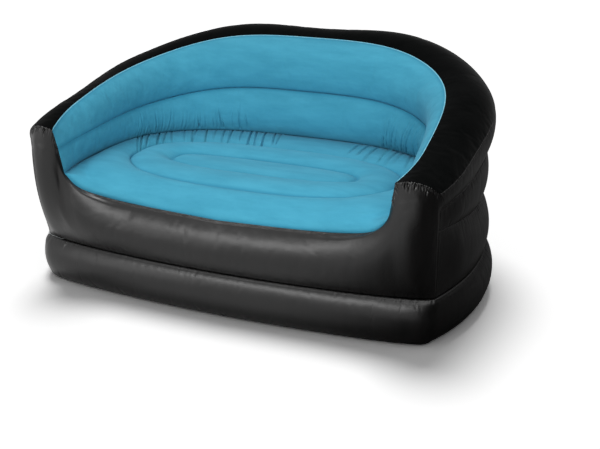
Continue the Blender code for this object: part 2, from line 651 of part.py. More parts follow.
    # Air valves low on the back
    middle = len(half_pinch) - 1
    valve("base_valve", base_grid, middle - BASE_VALVE_COLUMNS_COUNT, sofa, cutters, plastic, rubber,
          base_wall)
    middle = AROUND_COUNT - 1
    valve("seat_valve", lower_grid, middle + SEAT_VALVE_COLUMNS_COUNT - 1, sofa, cutters, plastic, rubber,
          lower_tube)


main()
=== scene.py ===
import json
from math import cos, pi, radians, sin
import bmesh
import bpy
import numpy as np
from mathutils import Matrix, Vector

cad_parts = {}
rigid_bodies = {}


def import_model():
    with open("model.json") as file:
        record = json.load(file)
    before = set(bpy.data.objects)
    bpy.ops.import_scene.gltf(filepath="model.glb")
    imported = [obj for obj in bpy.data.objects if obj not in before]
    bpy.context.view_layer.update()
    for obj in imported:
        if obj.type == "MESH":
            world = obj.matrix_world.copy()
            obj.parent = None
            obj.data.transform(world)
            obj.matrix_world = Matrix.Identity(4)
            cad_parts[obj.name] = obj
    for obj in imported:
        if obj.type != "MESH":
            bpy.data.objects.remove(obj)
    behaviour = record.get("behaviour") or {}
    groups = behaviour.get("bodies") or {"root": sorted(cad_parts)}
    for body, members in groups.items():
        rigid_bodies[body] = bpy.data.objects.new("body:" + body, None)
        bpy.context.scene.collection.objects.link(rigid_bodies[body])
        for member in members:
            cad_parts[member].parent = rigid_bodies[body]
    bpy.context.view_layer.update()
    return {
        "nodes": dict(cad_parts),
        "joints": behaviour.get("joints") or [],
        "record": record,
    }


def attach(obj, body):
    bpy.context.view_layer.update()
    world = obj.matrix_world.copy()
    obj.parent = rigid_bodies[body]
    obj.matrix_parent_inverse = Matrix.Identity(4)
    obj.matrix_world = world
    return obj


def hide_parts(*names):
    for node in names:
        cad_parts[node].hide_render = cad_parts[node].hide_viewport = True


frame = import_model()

# Plans of the welded lines, as the solids have them: the arm's front end, the half width, where the line is
# widest, where it crosses the middle of the back, and the squareness of its turn
FRONT_CORNER = (0.688, -0.432)
CONTACT_CORNER = (0.664, -0.447)
OUTER_WIDEST_Y = -0.127
OUTER_BACK_Y = 0.447
CONTACT_PLAN = (CONTACT_CORNER, 0.744, OUTER_WIDEST_Y, 0.411, 2.2)
PINCH_PLAN = (FRONT_CORNER, 0.743, OUTER_WIDEST_Y, OUTER_BACK_Y, 2.6)
LOWER_WAIST_PLAN = (FRONT_CORNER, 0.721, OUTER_WIDEST_Y, OUTER_BACK_Y, 2.6)
UPPER_WAIST_PLAN = (FRONT_CORNER, 0.726, OUTER_WIDEST_Y, OUTER_BACK_Y, 2.6)
RIM_PLAN = ((0.574, -0.509), 0.606, -0.319, 0.316, 3.0)
TIER_PLAN = ((0.565, -0.499), 0.568, -0.289, 0.257, 3.0)
SEAT_PLAN = ((0.553, -0.493), 0.592, -0.274, 0.243, 3.0)

# Bow of the front's welds, and the squareness of that curve
FRONT_BOW = 0.082
CONTACT_BOW = 0.062
BOW_ALONG = 1.8
BOW_ACROSS = 1.72

# Shares of the front's length, from its middle, at which the seat's edge and the arm's inner side end
SEAT_EDGE_END = 0.74
ARM_SIDE_END = 0.86

# Heights of the welded lines, evenly spaced from an arm's front end to the middle of the back
PINCH_HEIGHT = 0.150
LOWER_WAIST_HEIGHTS = (0.362, 0.320, 0.341, 0.340)
UPPER_WAIST_HEIGHTS = (0.432, 0.472, 0.464, 0.486)
RIM_HEIGHTS = (0.530, 0.607, 0.671, 0.732, 0.743)
TIER_HEIGHTS = (0.472, 0.492, 0.518, 0.550, 0.555)
SEAT_HEIGHTS = (0.398, 0.387, 0.387)
SEAT_EDGE_POINTS = ((0.0, -0.481, 0.312), (0.27, -0.471, 0.318), (0.42, -0.471, 0.330), (0.51, -0.481, 0.354))

# How far each inflated panel stands out from the straight line between its welds
BASE_SWELL = 0.034
BASE_FULLNESS = 0.80
LOWER_TUBE_SWELL = 0.018
MIDDLE_TUBE_SWELL = 0.013
RIGHT_TOP_SWELLS = (0.064, 0.064, 0.118, 0.180, 0.154)
LEFT_TOP_SWELLS = (0.064, 0.056, 0.104, 0.172, 0.154)
UPPER_TIER_SWELLS = (0.0, 0.030, 0.042, 0.046)
LOWER_TIER_SWELLS = (0.0, 0.020, 0.031, 0.036)
FRONT_SWELL = 0.034
RISER_SWELL = 0.036
RISER_NOSE = 0.68
ARM_END_SHARE = 0.10
SIDE_SEAM_SHARE = 0.365

# Welded ovals in the seat: half length, half depth, middle, height and squareness. The border swells less
# towards the back, from the first of two depths to the second.
OUTER_OVAL = (0.480, 0.222, -0.152, 0.380, 2.6)
INNER_OVAL = (0.335, 0.079, -0.149, 0.377, 3.0)
SEAT_BORDER_SWELL = 0.019
SEAT_BACK_SHARE = 0.55
BORDER_DEPTHS = (-0.10, 0.20)
SPINE_LENGTH = 0.80
SEAT_RING_SWELL = 0.023
SEAT_MIDDLE_SWELL = 0.017
CROWN_SQUARENESS = 2.7
MIDDLE_SQUARENESS = 2.6
MIDDLE_RING_END = 0.86

# In the photograph the left arm stands a little higher and further in than the right one. The lean and the
# tuck fade between two distances from the middle, two heights and two depths.
LEFT_ARM_LIFT = 0.018
LEFT_ARM_TUCK = 0.009
RIGHT_ARM_DROP = 0.013
LEAN_SIDE, LEAN_HEIGHTS, LEAN_DEPTHS = (0.25, 0.55), (0.36, 0.56), (-0.45, 0.12)
TUCK_SIDE, TUCK_DEPTHS = (0.45, 0.68), (-0.30, 0.10)

# Sheet, and how much of its movement in the simulation is kept
SHEET = 0.0005
INFLATION_STEPS = 20
LARGEST_MOVE = 0.0032
FLOCK_SHARE = 0.35
VINYL_SHARE = 0.20

# Gaps at welds and webs, then points and rows of the meshes
WELD_GAP = 0.0003
WEB_CLEARANCE = 0.003
SMOOTH = 600
AROUND = 141
SEAT_EDGE = 57
LOWER_ROWS = 19
MIDDLE_ROWS = 11
SIDE_ROWS = 12
RIM_ROWS = 25
TIER_ROWS = 17
BASE_ROWS = 17
BORDER_RING_ROWS = 15
OVAL_RING_ROWS = 13
MIDDLE_RING_ROWS = 7
BLUE_PANELS = ("upper_back", "lower_back", "seat_top")


def travelled_along(points):
    """Metres along a route from its first point to each of its points."""
    steps = np.linalg.norm(np.diff(points, axis=0), axis=1)
    return np.concatenate([[0.0], np.cumsum(steps)])


def evenly_spaced(points, count):
    """The same route with its points at equal distances."""
    travelled = travelled_along(points)
    places = np.linspace(0.0, travelled[-1], count)
    return np.stack([np.interp(places, travelled, points[:, k]) for k in range(points.shape[1])], axis=1)


def smooth_at(values, places):
    """A smooth curve through evenly spaced values, read at any places between them, along the first axis."""
    values = np.array(values, dtype=float)
    padded = np.concatenate([[2 * values[0] - values[1]], values, [2 * values[-1] - values[-2]]])
    index = np.minimum(places.astype(int), len(values) - 2)
    part = (places - index).reshape((-1,) + (1,) * (values.ndim - 1))
    before, start, end, after = (padded[index + k] for k in range(4))
    slope = (end - before) / 2
    bend = before - 2.5 * start + 2 * end - after / 2
    twist = (after - before) / 2 + 1.5 * (start - end)
    return start + part * (slope + part * (bend + part * twist))


def smooth_through(values, count, flat_end=True):
    """A smooth curve of so many values through evenly spaced ones, level at its end if that is flat."""
    values = np.array(values, dtype=float)
    last = len(values) - 1
    if flat_end:
        values = np.concatenate([values, values[-2:-3:-1]])
    return smooth_at(values, np.linspace(0, last, count))


def side_line(plan, heights):
    """Right half of a welded line, from the arm's front end round to the middle of the back."""
    (corner_x, corner_y), half_width, widest_y, back_y, roundness = plan
    side_y = np.linspace(corner_y, widest_y, SMOOTH)
    from_widest = (widest_y - side_y) / (widest_y - corner_y)
    side = np.stack([half_width - (half_width - corner_x) * from_widest ** 2, side_y], axis=1)
    turn = np.linspace(0.0, pi / 2, SMOOTH)[1:]
    back_x = half_width * np.maximum(np.cos(turn), 0.0) ** (2 / roundness)
    back_x[-1] = 0.0
    back = np.stack([back_x, widest_y + (back_y - widest_y) * np.sin(turn) ** (2 / roundness)], axis=1)
    plan = evenly_spaced(np.concatenate([side, back]), AROUND)
    return np.column_stack([plan, smooth_through(heights, AROUND)])


def front_line(corner, bow, height, places):
    """Right half of a bowed front line, at the given shares of the way from the middle to the corner."""
    corner_x, corner_y = corner
    x = corner_x * np.sin(np.linspace(0.0, pi / 2, SMOOTH))
    inward = np.maximum(1 - (x / corner_x) ** BOW_ALONG, 0.0)
    line = np.column_stack([x, corner_y - bow * inward ** (1 / BOW_ACROSS), np.full(len(x), height)])
    travelled = travelled_along(line)
    wanted = np.array(places) * travelled[-1]
    return np.stack([np.interp(wanted, travelled, line[:, k]) for k in range(3)], axis=1)


def mirrored(points):
    return points * np.array([-1.0, 1.0, 1.0])


def whole(rows, left_rows=None):
    """Both halves of rows whose last point lies on the middle plane, from right to left."""
    left_rows = rows if left_rows is None else left_rows
    return np.concatenate([rows, mirrored(left_rows)[:, -2::-1]], axis=1)


def closed_round(rows):
    """Rows that run from the front's middle to the back's middle, closed over the left side."""
    return np.concatenate([rows, mirrored(rows)[:, -2:0:-1]], axis=1)


def arc_rows(start, end, swell, shares):
    """Rows of points on circular arcs between two lines; swell is each arc's height."""
    chord = end - start
    length = np.linalg.norm(chord, axis=1)
    middle = (start + end) / 2
    along = np.gradient(middle, axis=0)
    along[np.abs(middle[:, 0]) < SHEET, 1:] = 0.0
    outward = np.cross(along, chord)
    outward /= np.linalg.norm(outward, axis=1)[:, None]
    height = np.maximum(swell, WELD_GAP)
    radius = length ** 2 / (8 * height) + height / 2
    half_angle = 2 * np.arctan2(2 * height, length)
    rows = []
    for share in shares:
        angle = (2 * share - 1) * half_angle
        forward = length / 2 + radius * np.sin(angle)
        lift = radius * np.cos(angle) - (radius - height)
        rows.append(start + chord / length[:, None] * forward[:, None] + outward * lift[:, None])
    return np.array(rows)


def faded(swell):
    """A swell that grows from nothing at the arm's front end."""
    place = np.clip(np.linspace(0.0, 1.0, AROUND) / ARM_END_SHARE, 0.0, 1.0)
    return swell * place ** 2 * (3 - 2 * place)


def rising(value, low, high):
    """0 below low, 1 above high, and a smooth step between them."""
    place = np.clip((value - low) / (high - low), 0.0, 1.0)
    return place ** 2 * (3 - 2 * place)


def oval_at(angles, oval, seat_centre):
    """Points of a welded oval where the rays from the seat's centre meet it."""
    half_length, half_depth, centre_y, height, power = oval
    turn = np.linspace(-pi, pi, SMOOTH * 4)
    x = half_length * np.sign(np.cos(turn)) * np.abs(np.cos(turn)) ** (2 / power)
    y = centre_y + half_depth * np.sign(np.sin(turn)) * np.abs(np.sin(turn)) ** (2 / power)
    ray = np.arctan2(y - seat_centre, x)
    order = np.argsort(ray)
    wrapped = np.concatenate([ray[order] - 2 * pi, ray[order], ray[order] + 2 * pi])
    xs = np.interp(angles, wrapped, np.tile(x[order], 3))
    ys = np.interp(angles, wrapped, np.tile(y[order], 3))
    return np.column_stack([xs, ys, np.full(len(angles), height)])


def crowned_ring(outer, inner, swell, count):
    """Rows between two closed welded lines, crowned upwards, without the last of them."""
    rows = []
    for share in np.linspace(0.0, 1.0, count)[:-1]:
        rise = (1 - abs(2 * share - 1) ** CROWN_SQUARENESS) * np.broadcast_to(swell, len(outer))
        rows.append(outer + (inner - outer) * share + rise[:, None] * np.array([0.0, 0.0, 1.0]))
    return rows


# Welded lines, right halves from the arm's front end to the middle of the back
contact = side_line(CONTACT_PLAN, (0.0, 0.0))
pinch = side_line(PINCH_PLAN, (PINCH_HEIGHT, PINCH_HEIGHT))
lower_waist = side_line(LOWER_WAIST_PLAN, LOWER_WAIST_HEIGHTS)
upper_waist = side_line(UPPER_WAIST_PLAN, UPPER_WAIST_HEIGHTS)
rim = side_line(RIM_PLAN, RIM_HEIGHTS)
tier = side_line(TIER_PLAN, TIER_HEIGHTS)
seat = side_line(SEAT_PLAN, SEAT_HEIGHTS)

# Panels of the outer side and back, and of the inner back
side_shares = np.linspace(0.0, SIDE_SEAM_SHARE, SIDE_ROWS)
rim_shares = np.linspace(SIDE_SEAM_SHARE, 1.0, RIM_ROWS)
lower_shares, middle_shares, tier_shares, base_shares = (
    np.linspace(0.0, 1.0, count) for count in (LOWER_ROWS, MIDDLE_ROWS, TIER_ROWS, BASE_ROWS))
right_swell = smooth_through(RIGHT_TOP_SWELLS, AROUND)
left_swell = smooth_through(LEFT_TOP_SWELLS, AROUND)
lower_half = arc_rows(pinch, lower_waist, faded(LOWER_TUBE_SWELL), lower_shares)
middle_half = arc_rows(lower_waist, upper_waist, faded(MIDDLE_TUBE_SWELL), middle_shares)
side_half = arc_rows(upper_waist, rim, right_swell, side_shares)
rim_half = arc_rows(upper_waist, rim, right_swell, rim_shares)
upper_half = arc_rows(rim, tier, smooth_through(UPPER_TIER_SWELLS, AROUND), tier_shares)
lower_back_half = arc_rows(tier, seat, smooth_through(LOWER_TIER_SWELLS, AROUND), tier_shares)

# Front panel: its top edge runs out along the seat, up the arm's inner side and over the arm's end
seat_edge = smooth_through(SEAT_EDGE_POINTS + (tuple(seat[0]),), SMOOTH, flat_end=False)
seat_edge = evenly_spaced(seat_edge, SEAT_EDGE)
lower_arm_edge = lower_back_half[::-1, 0]
upper_arm_edge = upper_half[::-1, 0]
arm_end = rim_half[::-1, 0][1:]
front_top = np.concatenate([seat_edge, lower_arm_edge[1:], upper_arm_edge[1:], arm_end])
arm_columns = len(lower_arm_edge) + len(upper_arm_edge) - 2
places = np.concatenate([
    np.linspace(0.0, SEAT_EDGE_END, SEAT_EDGE),
    np.linspace(SEAT_EDGE_END, ARM_SIDE_END, arm_columns + 1)[1:],
    np.linspace(ARM_SIDE_END, 1.0, RIM_ROWS)[1:]])
front_pinch = front_line(FRONT_CORNER, FRONT_BOW, PINCH_HEIGHT, places)
corner_line = np.concatenate([lower_half[:, 0], middle_half[1:, 0], side_half[1:, 0]])
corner_travelled = travelled_along(corner_line)
corner_shares = corner_travelled / corner_travelled[-1]
across = np.zeros(len(front_top))
across[-len(arm_end):] = np.linspace(0.0, 1.0, len(arm_end) + 1)[1:]
forward = np.gradient(front_pinch, axis=0)
forward = np.column_stack([forward[:, 1], -forward[:, 0], np.zeros(len(forward))])
forward /= np.linalg.norm(forward, axis=1)[:, None]
front_half = []
for share, corner_point in zip(corner_shares, corner_line):
    swell = FRONT_SWELL * (1 - across) ** 2 * 4 * share * (1 - share)
    swell += RISER_SWELL * np.sin(pi * across ** RISER_NOSE) * (1 - share ** 4) * (1 - (1 - share) ** 4)
    front_row = front_pinch + (front_top - front_pinch) * share + forward * swell[:, None]
    front_row[-1] = corner_point
    front_half.append(front_row)
front_half = np.array(front_half)

# Base wall, between the ground and the pinch: an arc made fuller towards both welds
LEAST_LIFT = 1e-9
MOST_FULLER = 2.0
half_contact = np.concatenate([front_line(CONTACT_CORNER, CONTACT_BOW, 0.0, places), contact[1:]])
half_pinch = np.concatenate([front_pinch, pinch[1:]])
base_arc = arc_rows(half_contact, half_pinch, np.full(len(half_pinch), BASE_SWELL), base_shares)
base_shares = base_shares[:, None, None]
base_flat = half_contact + (half_pinch - half_contact) * base_shares
arc_lift = np.maximum(4 * base_shares * (1 - base_shares), LEAST_LIFT)
base_half = base_flat + (base_arc - base_flat) * np.minimum(arc_lift ** (BASE_FULLNESS - 1), MOST_FULLER)

# Seat: three crowned rings between its border, two welded ovals and a spine
seat_border = closed_round(np.concatenate([seat_edge, seat[1:]])[None])[0]
seat_centre = (OUTER_OVAL[2] + INNER_OVAL[2]) / 2
seat_angles = np.arctan2(seat_border[:, 1] - seat_centre, seat_border[:, 0])
outer_oval = oval_at(seat_angles, OUTER_OVAL, seat_centre)
inner_oval = oval_at(seat_angles, INNER_OVAL, seat_centre)
spine = inner_oval * np.array([SPINE_LENGTH, 0.0, 1.0]) + np.array([0.0, INNER_OVAL[2], 0.0])
back_fade = rising(seat_border[:, 1], *BORDER_DEPTHS)
border_swell = SEAT_BORDER_SWELL * (1 - (1 - SEAT_BACK_SHARE) * back_fade)
seat_rows = crowned_ring(seat_border, outer_oval, border_swell, BORDER_RING_ROWS)
seat_rows += crowned_ring(outer_oval, inner_oval, SEAT_RING_SWELL, OVAL_RING_ROWS)
for share in np.linspace(0.0, MIDDLE_RING_END, MIDDLE_RING_ROWS):
    rise = (1 - (1 - share) ** MIDDLE_SQUARENESS) * SEAT_MIDDLE_SWELL
    seat_rows.append(inner_oval + (spine - inner_oval) * share + np.array([0.0, 0.0, 1.0]) * rise)

panels = {
    "base_wall": closed_round(base_half),
    "front_panel": np.concatenate([mirrored(front_half)[:, :0:-1], front_half], axis=1),
    "lower_tube": whole(lower_half),
    "middle_tube": whole(middle_half),
    "top_tube_side": whole(side_half, arc_rows(upper_waist, rim, left_swell, side_shares)),
    "top_tube_rim": whole(rim_half, arc_rows(upper_waist, rim, left_swell, rim_shares)),
    "upper_back": whole(upper_half),
    "lower_back": whole(lower_back_half),
    "seat_top": np.array(seat_rows),
}
closed_panels = ("base_wall", "seat_top")
outer_oval_row = BORDER_RING_ROWS - 1
inner_oval_row = outer_oval_row + OVAL_RING_ROWS - 1
welded_rows = {"seat_top": (0, outer_oval_row, inner_oval_row, len(seat_rows) - 1)}


def arm_lean(points):
    """The left arm's end lifted and tucked in, and the right arm's end lowered."""
    x, y, z = points[..., 0], points[..., 1], points[..., 2]
    lift = np.where(x < 0.0, LEFT_ARM_LIFT, -RIGHT_ARM_DROP) * rising(np.abs(x), *LEAN_SIDE)
    lift = lift * rising(z, *LEAN_HEIGHTS) * (1 - rising(y, *LEAN_DEPTHS))
    leaned = np.array(points)
    leaned[..., 2] += lift
    leaned[..., 0] += LEFT_ARM_TUCK * rising(-x, *TUCK_SIDE) * (1 - rising(y, *TUCK_DEPTHS))
    return leaned


def eased_along(grid, passes, edge_share):
    """Inner rows smoothed along their length beside the arms' ends, which then flow into the front."""
    from_edge = np.linspace(0.0, 1.0, len(grid))
    from_side = np.minimum(np.arange(grid.shape[1]), np.arange(grid.shape[1])[::-1])
    freedom = 0.5 * rising(np.minimum(from_edge, 1 - from_edge), 0.0, edge_share)[1:-1, None, None]
    freedom = freedom * rising(from_side, RIM_ROWS * 0.4, RIM_ROWS * 1.2)[None, 1:-1, None]
    eased = np.array(grid)
    for _ in range(passes):
        between = (eased[1:-1, :-2] + eased[1:-1, 2:]) / 2
        eased[1:-1, 1:-1] += freedom * (between - eased[1:-1, 1:-1])
    return eased


def eased_corners(rows, corner_column, reach, passes, edge_share=0.0):
    """A closed ring of rows, its inner rows smoothed near its two front corners, less beside its welds."""
    columns = np.arange(rows.shape[1])
    other_corner = rows.shape[1] - corner_column
    from_corner = np.minimum(np.abs(columns - corner_column), np.abs(columns - other_corner))
    freedom = 0.5 * (1 - rising(from_corner, reach * 0.4, reach))[None, :, None]
    eased = np.array(rows)
    for _ in range(passes):
        between = (np.roll(eased, 1, axis=1) + np.roll(eased, -1, axis=1))[1:-1] / 2
        eased[1:-1] += freedom * (between - eased[1:-1])
    if edge_share == 0.0:
        return eased
    from_weld = np.minimum(np.linspace(0.0, 1.0, len(rows)), np.linspace(1.0, 0.0, len(rows)))
    return rows + (eased - rows) * rising(from_weld, 0.0, edge_share)[:, None, None]


panels["front_panel"] = eased_along(panels["front_panel"], passes=160, edge_share=0.16)
seat_border_rows = panels["seat_top"][:BORDER_RING_ROWS]
panels["seat_top"][:BORDER_RING_ROWS] = eased_corners(
    seat_border_rows, corner_column=SEAT_EDGE - 1, reach=45, passes=300)
panels["base_wall"] = eased_corners(
    panels["base_wall"], corner_column=len(places) - 1, reach=14, passes=24, edge_share=0.30)
for name in panels:
    panels[name] = arm_lean(panels[name])


def grid_faces(row_count, column_count, closed):
    rows = np.arange(row_count - 1)[:, None]
    columns = np.arange(column_count if closed else column_count - 1)[None]
    following = (columns + 1) % column_count
    corners = (rows * column_count + columns, rows * column_count + following,
               (rows + 1) * column_count + following, (rows + 1) * column_count + columns)
    return np.stack([np.broadcast_to(corner, (row_count - 1, columns.shape[1])) for corner in corners],
                    axis=-1).reshape(-1, 4)


def mesh_from(name, points, faces):
    mesh = bpy.data.meshes.new(name)
    mesh.vertices.add(len(points))
    mesh.vertices.foreach_set("co", np.ascontiguousarray(points, dtype=np.float32).ravel())
    mesh.loops.add(faces.size)
    mesh.loops.foreach_set("vertex_index", faces.astype(np.int32).ravel())
    mesh.polygons.add(len(faces))
    mesh.polygons.foreach_set("loop_start", np.arange(0, faces.size, faces.shape[1], dtype=np.int32))
    mesh.update(calc_edges=True)
    mesh.validate()
    return mesh


def link(obj):
    bpy.context.scene.collection.objects.link(obj)
    return obj


# Inflation: the panels as loose cloth held at their welds, blown up so that the vinyl puckers beside them
def inflate(grids, closed_names, extra_welds):
    points, faces, held, starts = [], [], [], {}
    offset = 0
    for name, grid in grids.items():
        row_count, column_count = grid.shape[:2]
        starts[name] = offset
        points.append(grid.reshape(-1, 3))
        faces.append(grid_faces(row_count, column_count, name in closed_names) + offset)
        pinned = np.zeros((row_count, column_count), dtype=bool)
        pinned[[0, -1]] = True
        pinned[list(extra_welds.get(name, ()))] = True
        if name not in closed_names:
            pinned[:, [0, -1]] = True
        held.append(pinned.ravel())
        offset += row_count * column_count
    points = np.concatenate(points)
    held = np.concatenate(held)
    skin = link(bpy.data.objects.new("inflation", mesh_from("inflation", points, np.concatenate(faces))))
    welds = skin.vertex_groups.new(name="welds")
    welds.add([int(k) for k in np.flatnonzero(held)], 1.0, "REPLACE")
    cloth = skin.modifiers.new("Inflation", "CLOTH")
    for setting, value in {
            "quality": 6, "mass": 0.35, "tension_stiffness": 60, "compression_stiffness": 60,
            "shear_stiffness": 20, "bending_stiffness": 0.02, "tension_damping": 25,
            "compression_damping": 25, "shear_damping": 25, "air_damping": 4, "vertex_group_mass": "welds",
            "use_pressure": True, "uniform_pressure_force": 5.0, "shrink_min": -0.012}.items():
        setattr(cloth.settings, setting, value)
    cloth.settings.effector_weights.gravity = 0.0
    cloth.collision_settings.use_collision = False
    cloth.point_cache.frame_start = 1
    cloth.point_cache.frame_end = INFLATION_STEPS
    for step in range(1, INFLATION_STEPS + 1):
        bpy.context.scene.frame_set(step)
    evaluated = skin.evaluated_get(bpy.context.evaluated_depsgraph_get())
    blown = np.empty(len(points) * 3, dtype=np.float32)
    evaluated.data.vertices.foreach_get("co", blown)
    moved = blown.reshape(-1, 3) - points
    distance = np.linalg.norm(moved, axis=1)
    moved *= (LARGEST_MOVE * np.tanh(distance / LARGEST_MOVE) / np.maximum(distance, 1e-9))[:, None]
    bpy.context.scene.frame_set(1)
    mesh = skin.data
    bpy.data.objects.remove(skin)
    bpy.data.meshes.remove(mesh)
    inflated = {}
    for name, grid in grids.items():
        size = grid.shape[0] * grid.shape[1]
        share = FLOCK_SHARE if name in (*BLUE_PANELS, "top_tube_rim") else VINYL_SHARE
        inflated[name] = grid + share * moved[starts[name]:starts[name] + size].reshape(grid.shape)
    return inflated


panels = inflate(panels, closed_panels, welded_rows)


def refined(grid, row_places, column_places, closed):
    """The panel with finer rows and columns, on smooth curves through its points."""
    grid = smooth_at(grid, row_places)
    columns = np.swapaxes(grid, 0, 1)
    if closed:
        columns = np.concatenate([columns[-2:], columns, columns[:3]])
        columns = smooth_at(columns, column_places + 2)
    else:
        columns = smooth_at(columns, column_places)
    return np.swapaxes(columns, 0, 1)


def normals_of(grid, closed):
    if closed:
        padded = np.concatenate([grid[:, -1:], grid, grid[:, :1]], axis=1)
        along = (padded[:, 2:] - padded[:, :-2]) / 2
    else:
        along = np.gradient(grid, axis=1)
    normals = np.cross(along, np.gradient(grid, axis=0))
    return normals / np.maximum(np.linalg.norm(normals, axis=2, keepdims=True), 1e-12)


def seam_distance(grid, row):
    """Metres from each point to a row of the panel, measured down its column."""
    steps = np.linalg.norm(np.diff(grid, axis=0), axis=2)
    travelled = np.concatenate([np.zeros((1, grid.shape[1])), np.cumsum(steps, axis=0)])
    return np.abs(travelled - travelled[row])


def creases(rng, along, from_seam, places, width, depth, reach, start=0.0, slant=0.0, spread=0.16):
    """Sum of narrow valleys with raised sides that run away from a seam and fade out, no two alike."""
    total = np.zeros(from_seam.shape)
    for place in places:
        this_width = width * rng.uniform(0.7, 1.4)
        this_depth = depth * (0.25 + 1.1 * rng.uniform() ** 1.5)
        this_reach = reach * rng.uniform(0.55, 1.25)
        this_slant = slant + rng.uniform(-spread, spread)
        near = np.abs(along - place) < this_width * 4 + abs(this_slant) * reach * 1.3
        if not near.any():
            continue
        distance = from_seam[:, near]
        offset = (along[near][None] - place - this_slant * distance) / this_width
        valley = (1 - 1.6 * offset ** 2) * np.exp(-offset ** 2)
        fade = rising(distance, start - 0.004, start + 0.008)
        fade = fade * (1 - rising(distance, this_reach * 0.35, this_reach))
        total[:, near] -= this_depth * valley * fade
    return total


def scattered(rng, low, high, spacing, jitter=0.35):
    """Places between low and high about a spacing apart, unevenly."""
    count = max(int(round((high - low) / spacing)), 1)
    places = low + (np.arange(count) + 0.5) * (high - low) / count
    return places + rng.uniform(-jitter, jitter, count) * spacing


# Finer panels: two or three times the points, and denser where gathers show
BACK_MIDDLE = AROUND - 1
FRONT_MIDDLE = (panels["front_panel"].shape[1] - 1) // 2
SEAT_COLUMNS = panels["seat_top"].shape[1]


def finer_places(last, step, dense_zones=(), dense_step=0.2):
    """Places from 0 to last, a step apart, and closer together in the dense zones."""
    places = [np.arange(0.0, last, step)]
    for low, high in dense_zones:
        places.append(np.arange(low, high, dense_step))
    places = np.unique(np.round(np.concatenate(places), 4))
    keep = np.concatenate([[True], np.diff(places) > dense_step * 0.6])
    places = places[keep]
    return np.append(places[places < last - dense_step * 0.3], last)


def left_of(share):
    """Column of an open panel at a share of the way from the left arm's end to the middle of the back."""
    return 2 * BACK_MIDDLE - share * BACK_MIDDLE


def right_of(share):
    return share * BACK_MIDDLE


def seat_left(share):
    return SEAT_COLUMNS - (SEAT_EDGE - 1 + share * BACK_MIDDLE)


def seat_right(share):
    return SEAT_EDGE - 1 + share * BACK_MIDDLE


# Steps of the finer grids, in rows and columns of the coarse ones, and zones of columns where gathers show
ROW_STEP = 0.5
LOWER_BACK_ROW_STEP = 0.34
column_steps = {"front_panel": 0.5, "top_tube_rim": 0.5, "upper_back": 0.5, "lower_back": 0.5,
                "seat_top": 0.6}
COLUMN_STEP = 0.4
dense_zones = {
    "lower_back": ((right_of(0.54), right_of(0.74)), (left_of(0.80), left_of(0.36))),
    "seat_top": ((seat_right(0.57), seat_right(0.80)), (seat_left(0.85), seat_left(0.35))),
    "front_panel": ((0.0, 42.0), (FRONT_MIDDLE * 2 - 42.0, FRONT_MIDDLE * 2.0)),
}
fine, fine_columns = {}, {}
for name, grid in panels.items():
    closed = name in closed_panels
    row_places = finer_places(grid.shape[0] - 1.0, LOWER_BACK_ROW_STEP if name == "lower_back" else ROW_STEP)
    last_column = grid.shape[1] - (0.0 if closed else 1.0)
    column_places = finer_places(last_column, column_steps.get(name, COLUMN_STEP), dense_zones.get(name, ()))
    if closed:
        column_places = column_places[:-1]
    fine[name] = refined(grid, row_places, column_places, closed)
    fine_columns[name] = column_places


def along_seam(name, row):
    return travelled_along(fine[name][row])


def metres_at(name, row, column):
    """Metres along a seam at a column of the coarse panel."""
    return float(np.interp(column, fine_columns[name], along_seam(name, row)))


def gather(name, row, zones, width, depth, reach, start=0.0, slant=0.0, seed=1, spread=0.16):
    """Creases away from one seam of a panel; a zone is its two columns and the creases' spacing."""
    rng = np.random.default_rng(seed)
    closed = name in closed_panels
    grid = fine[name]
    along = along_seam(name, row)
    from_seam = seam_distance(grid, row)
    total = np.zeros(from_seam.shape)
    for first, last, spacing in zones:
        low, high = sorted((metres_at(name, row, first), metres_at(name, row, last)))
        places = scattered(rng, low, high, spacing)
        total += creases(rng, along, from_seam, places, width, depth, reach, start, slant, spread)
    fine[name] = grid + normals_of(grid, closed) * total[:, :, None]


def hollow_beside_arm(column, width, depth, reach):
    """A broad hollow in the front panel, where an arm's end turns into the front of the seat."""
    grid = fine["front_panel"]
    from_seam = seam_distance(grid, -1)
    offset = (along_seam("front_panel", -1)[None] - metres_at("front_panel", -1, column)) / width
    fade = rising(from_seam, 0.0, reach * 0.4) * (1 - rising(from_seam, reach * 0.45, reach))
    hollow = depth * np.exp(-offset ** 2) * fade
    fine["front_panel"] = grid - normals_of(grid, False) * hollow[:, :, None]


# The photograph shows it beside the left arm alone
hollow_beside_arm(FRONT_MIDDLE - 65, width=0.055, depth=0.008, reach=0.230)

# The gathers of the lower back that show in the photograph, three sets on the left and one on the right
for first, last, spacing, width, depth, reach, start, slant, seed in (
        (left_of(0.38), left_of(0.78), 0.026, 0.0040, 0.0062, 0.110, 0.016, 0.0, 3),
        (left_of(0.62), left_of(0.84), 0.052, 0.0034, 0.0066, 0.150, 0.018, 0.0, 4),
        (left_of(0.36), left_of(0.47), 0.011, 0.0030, 0.0040, 0.070, 0.014, 0.22, 5),
        (right_of(0.50), right_of(0.74), 0.0115, 0.0032, 0.0080, 0.180, 0.006, -0.34, 7)):
    gather("lower_back", -1, ((first, last, spacing),), width, depth, reach, start, slant, seed)

# The ovals' rows in the finer seat
OVAL_ROW = round(outer_oval_row / ROW_STEP)
INNER_ROW = round(inner_oval_row / ROW_STEP)


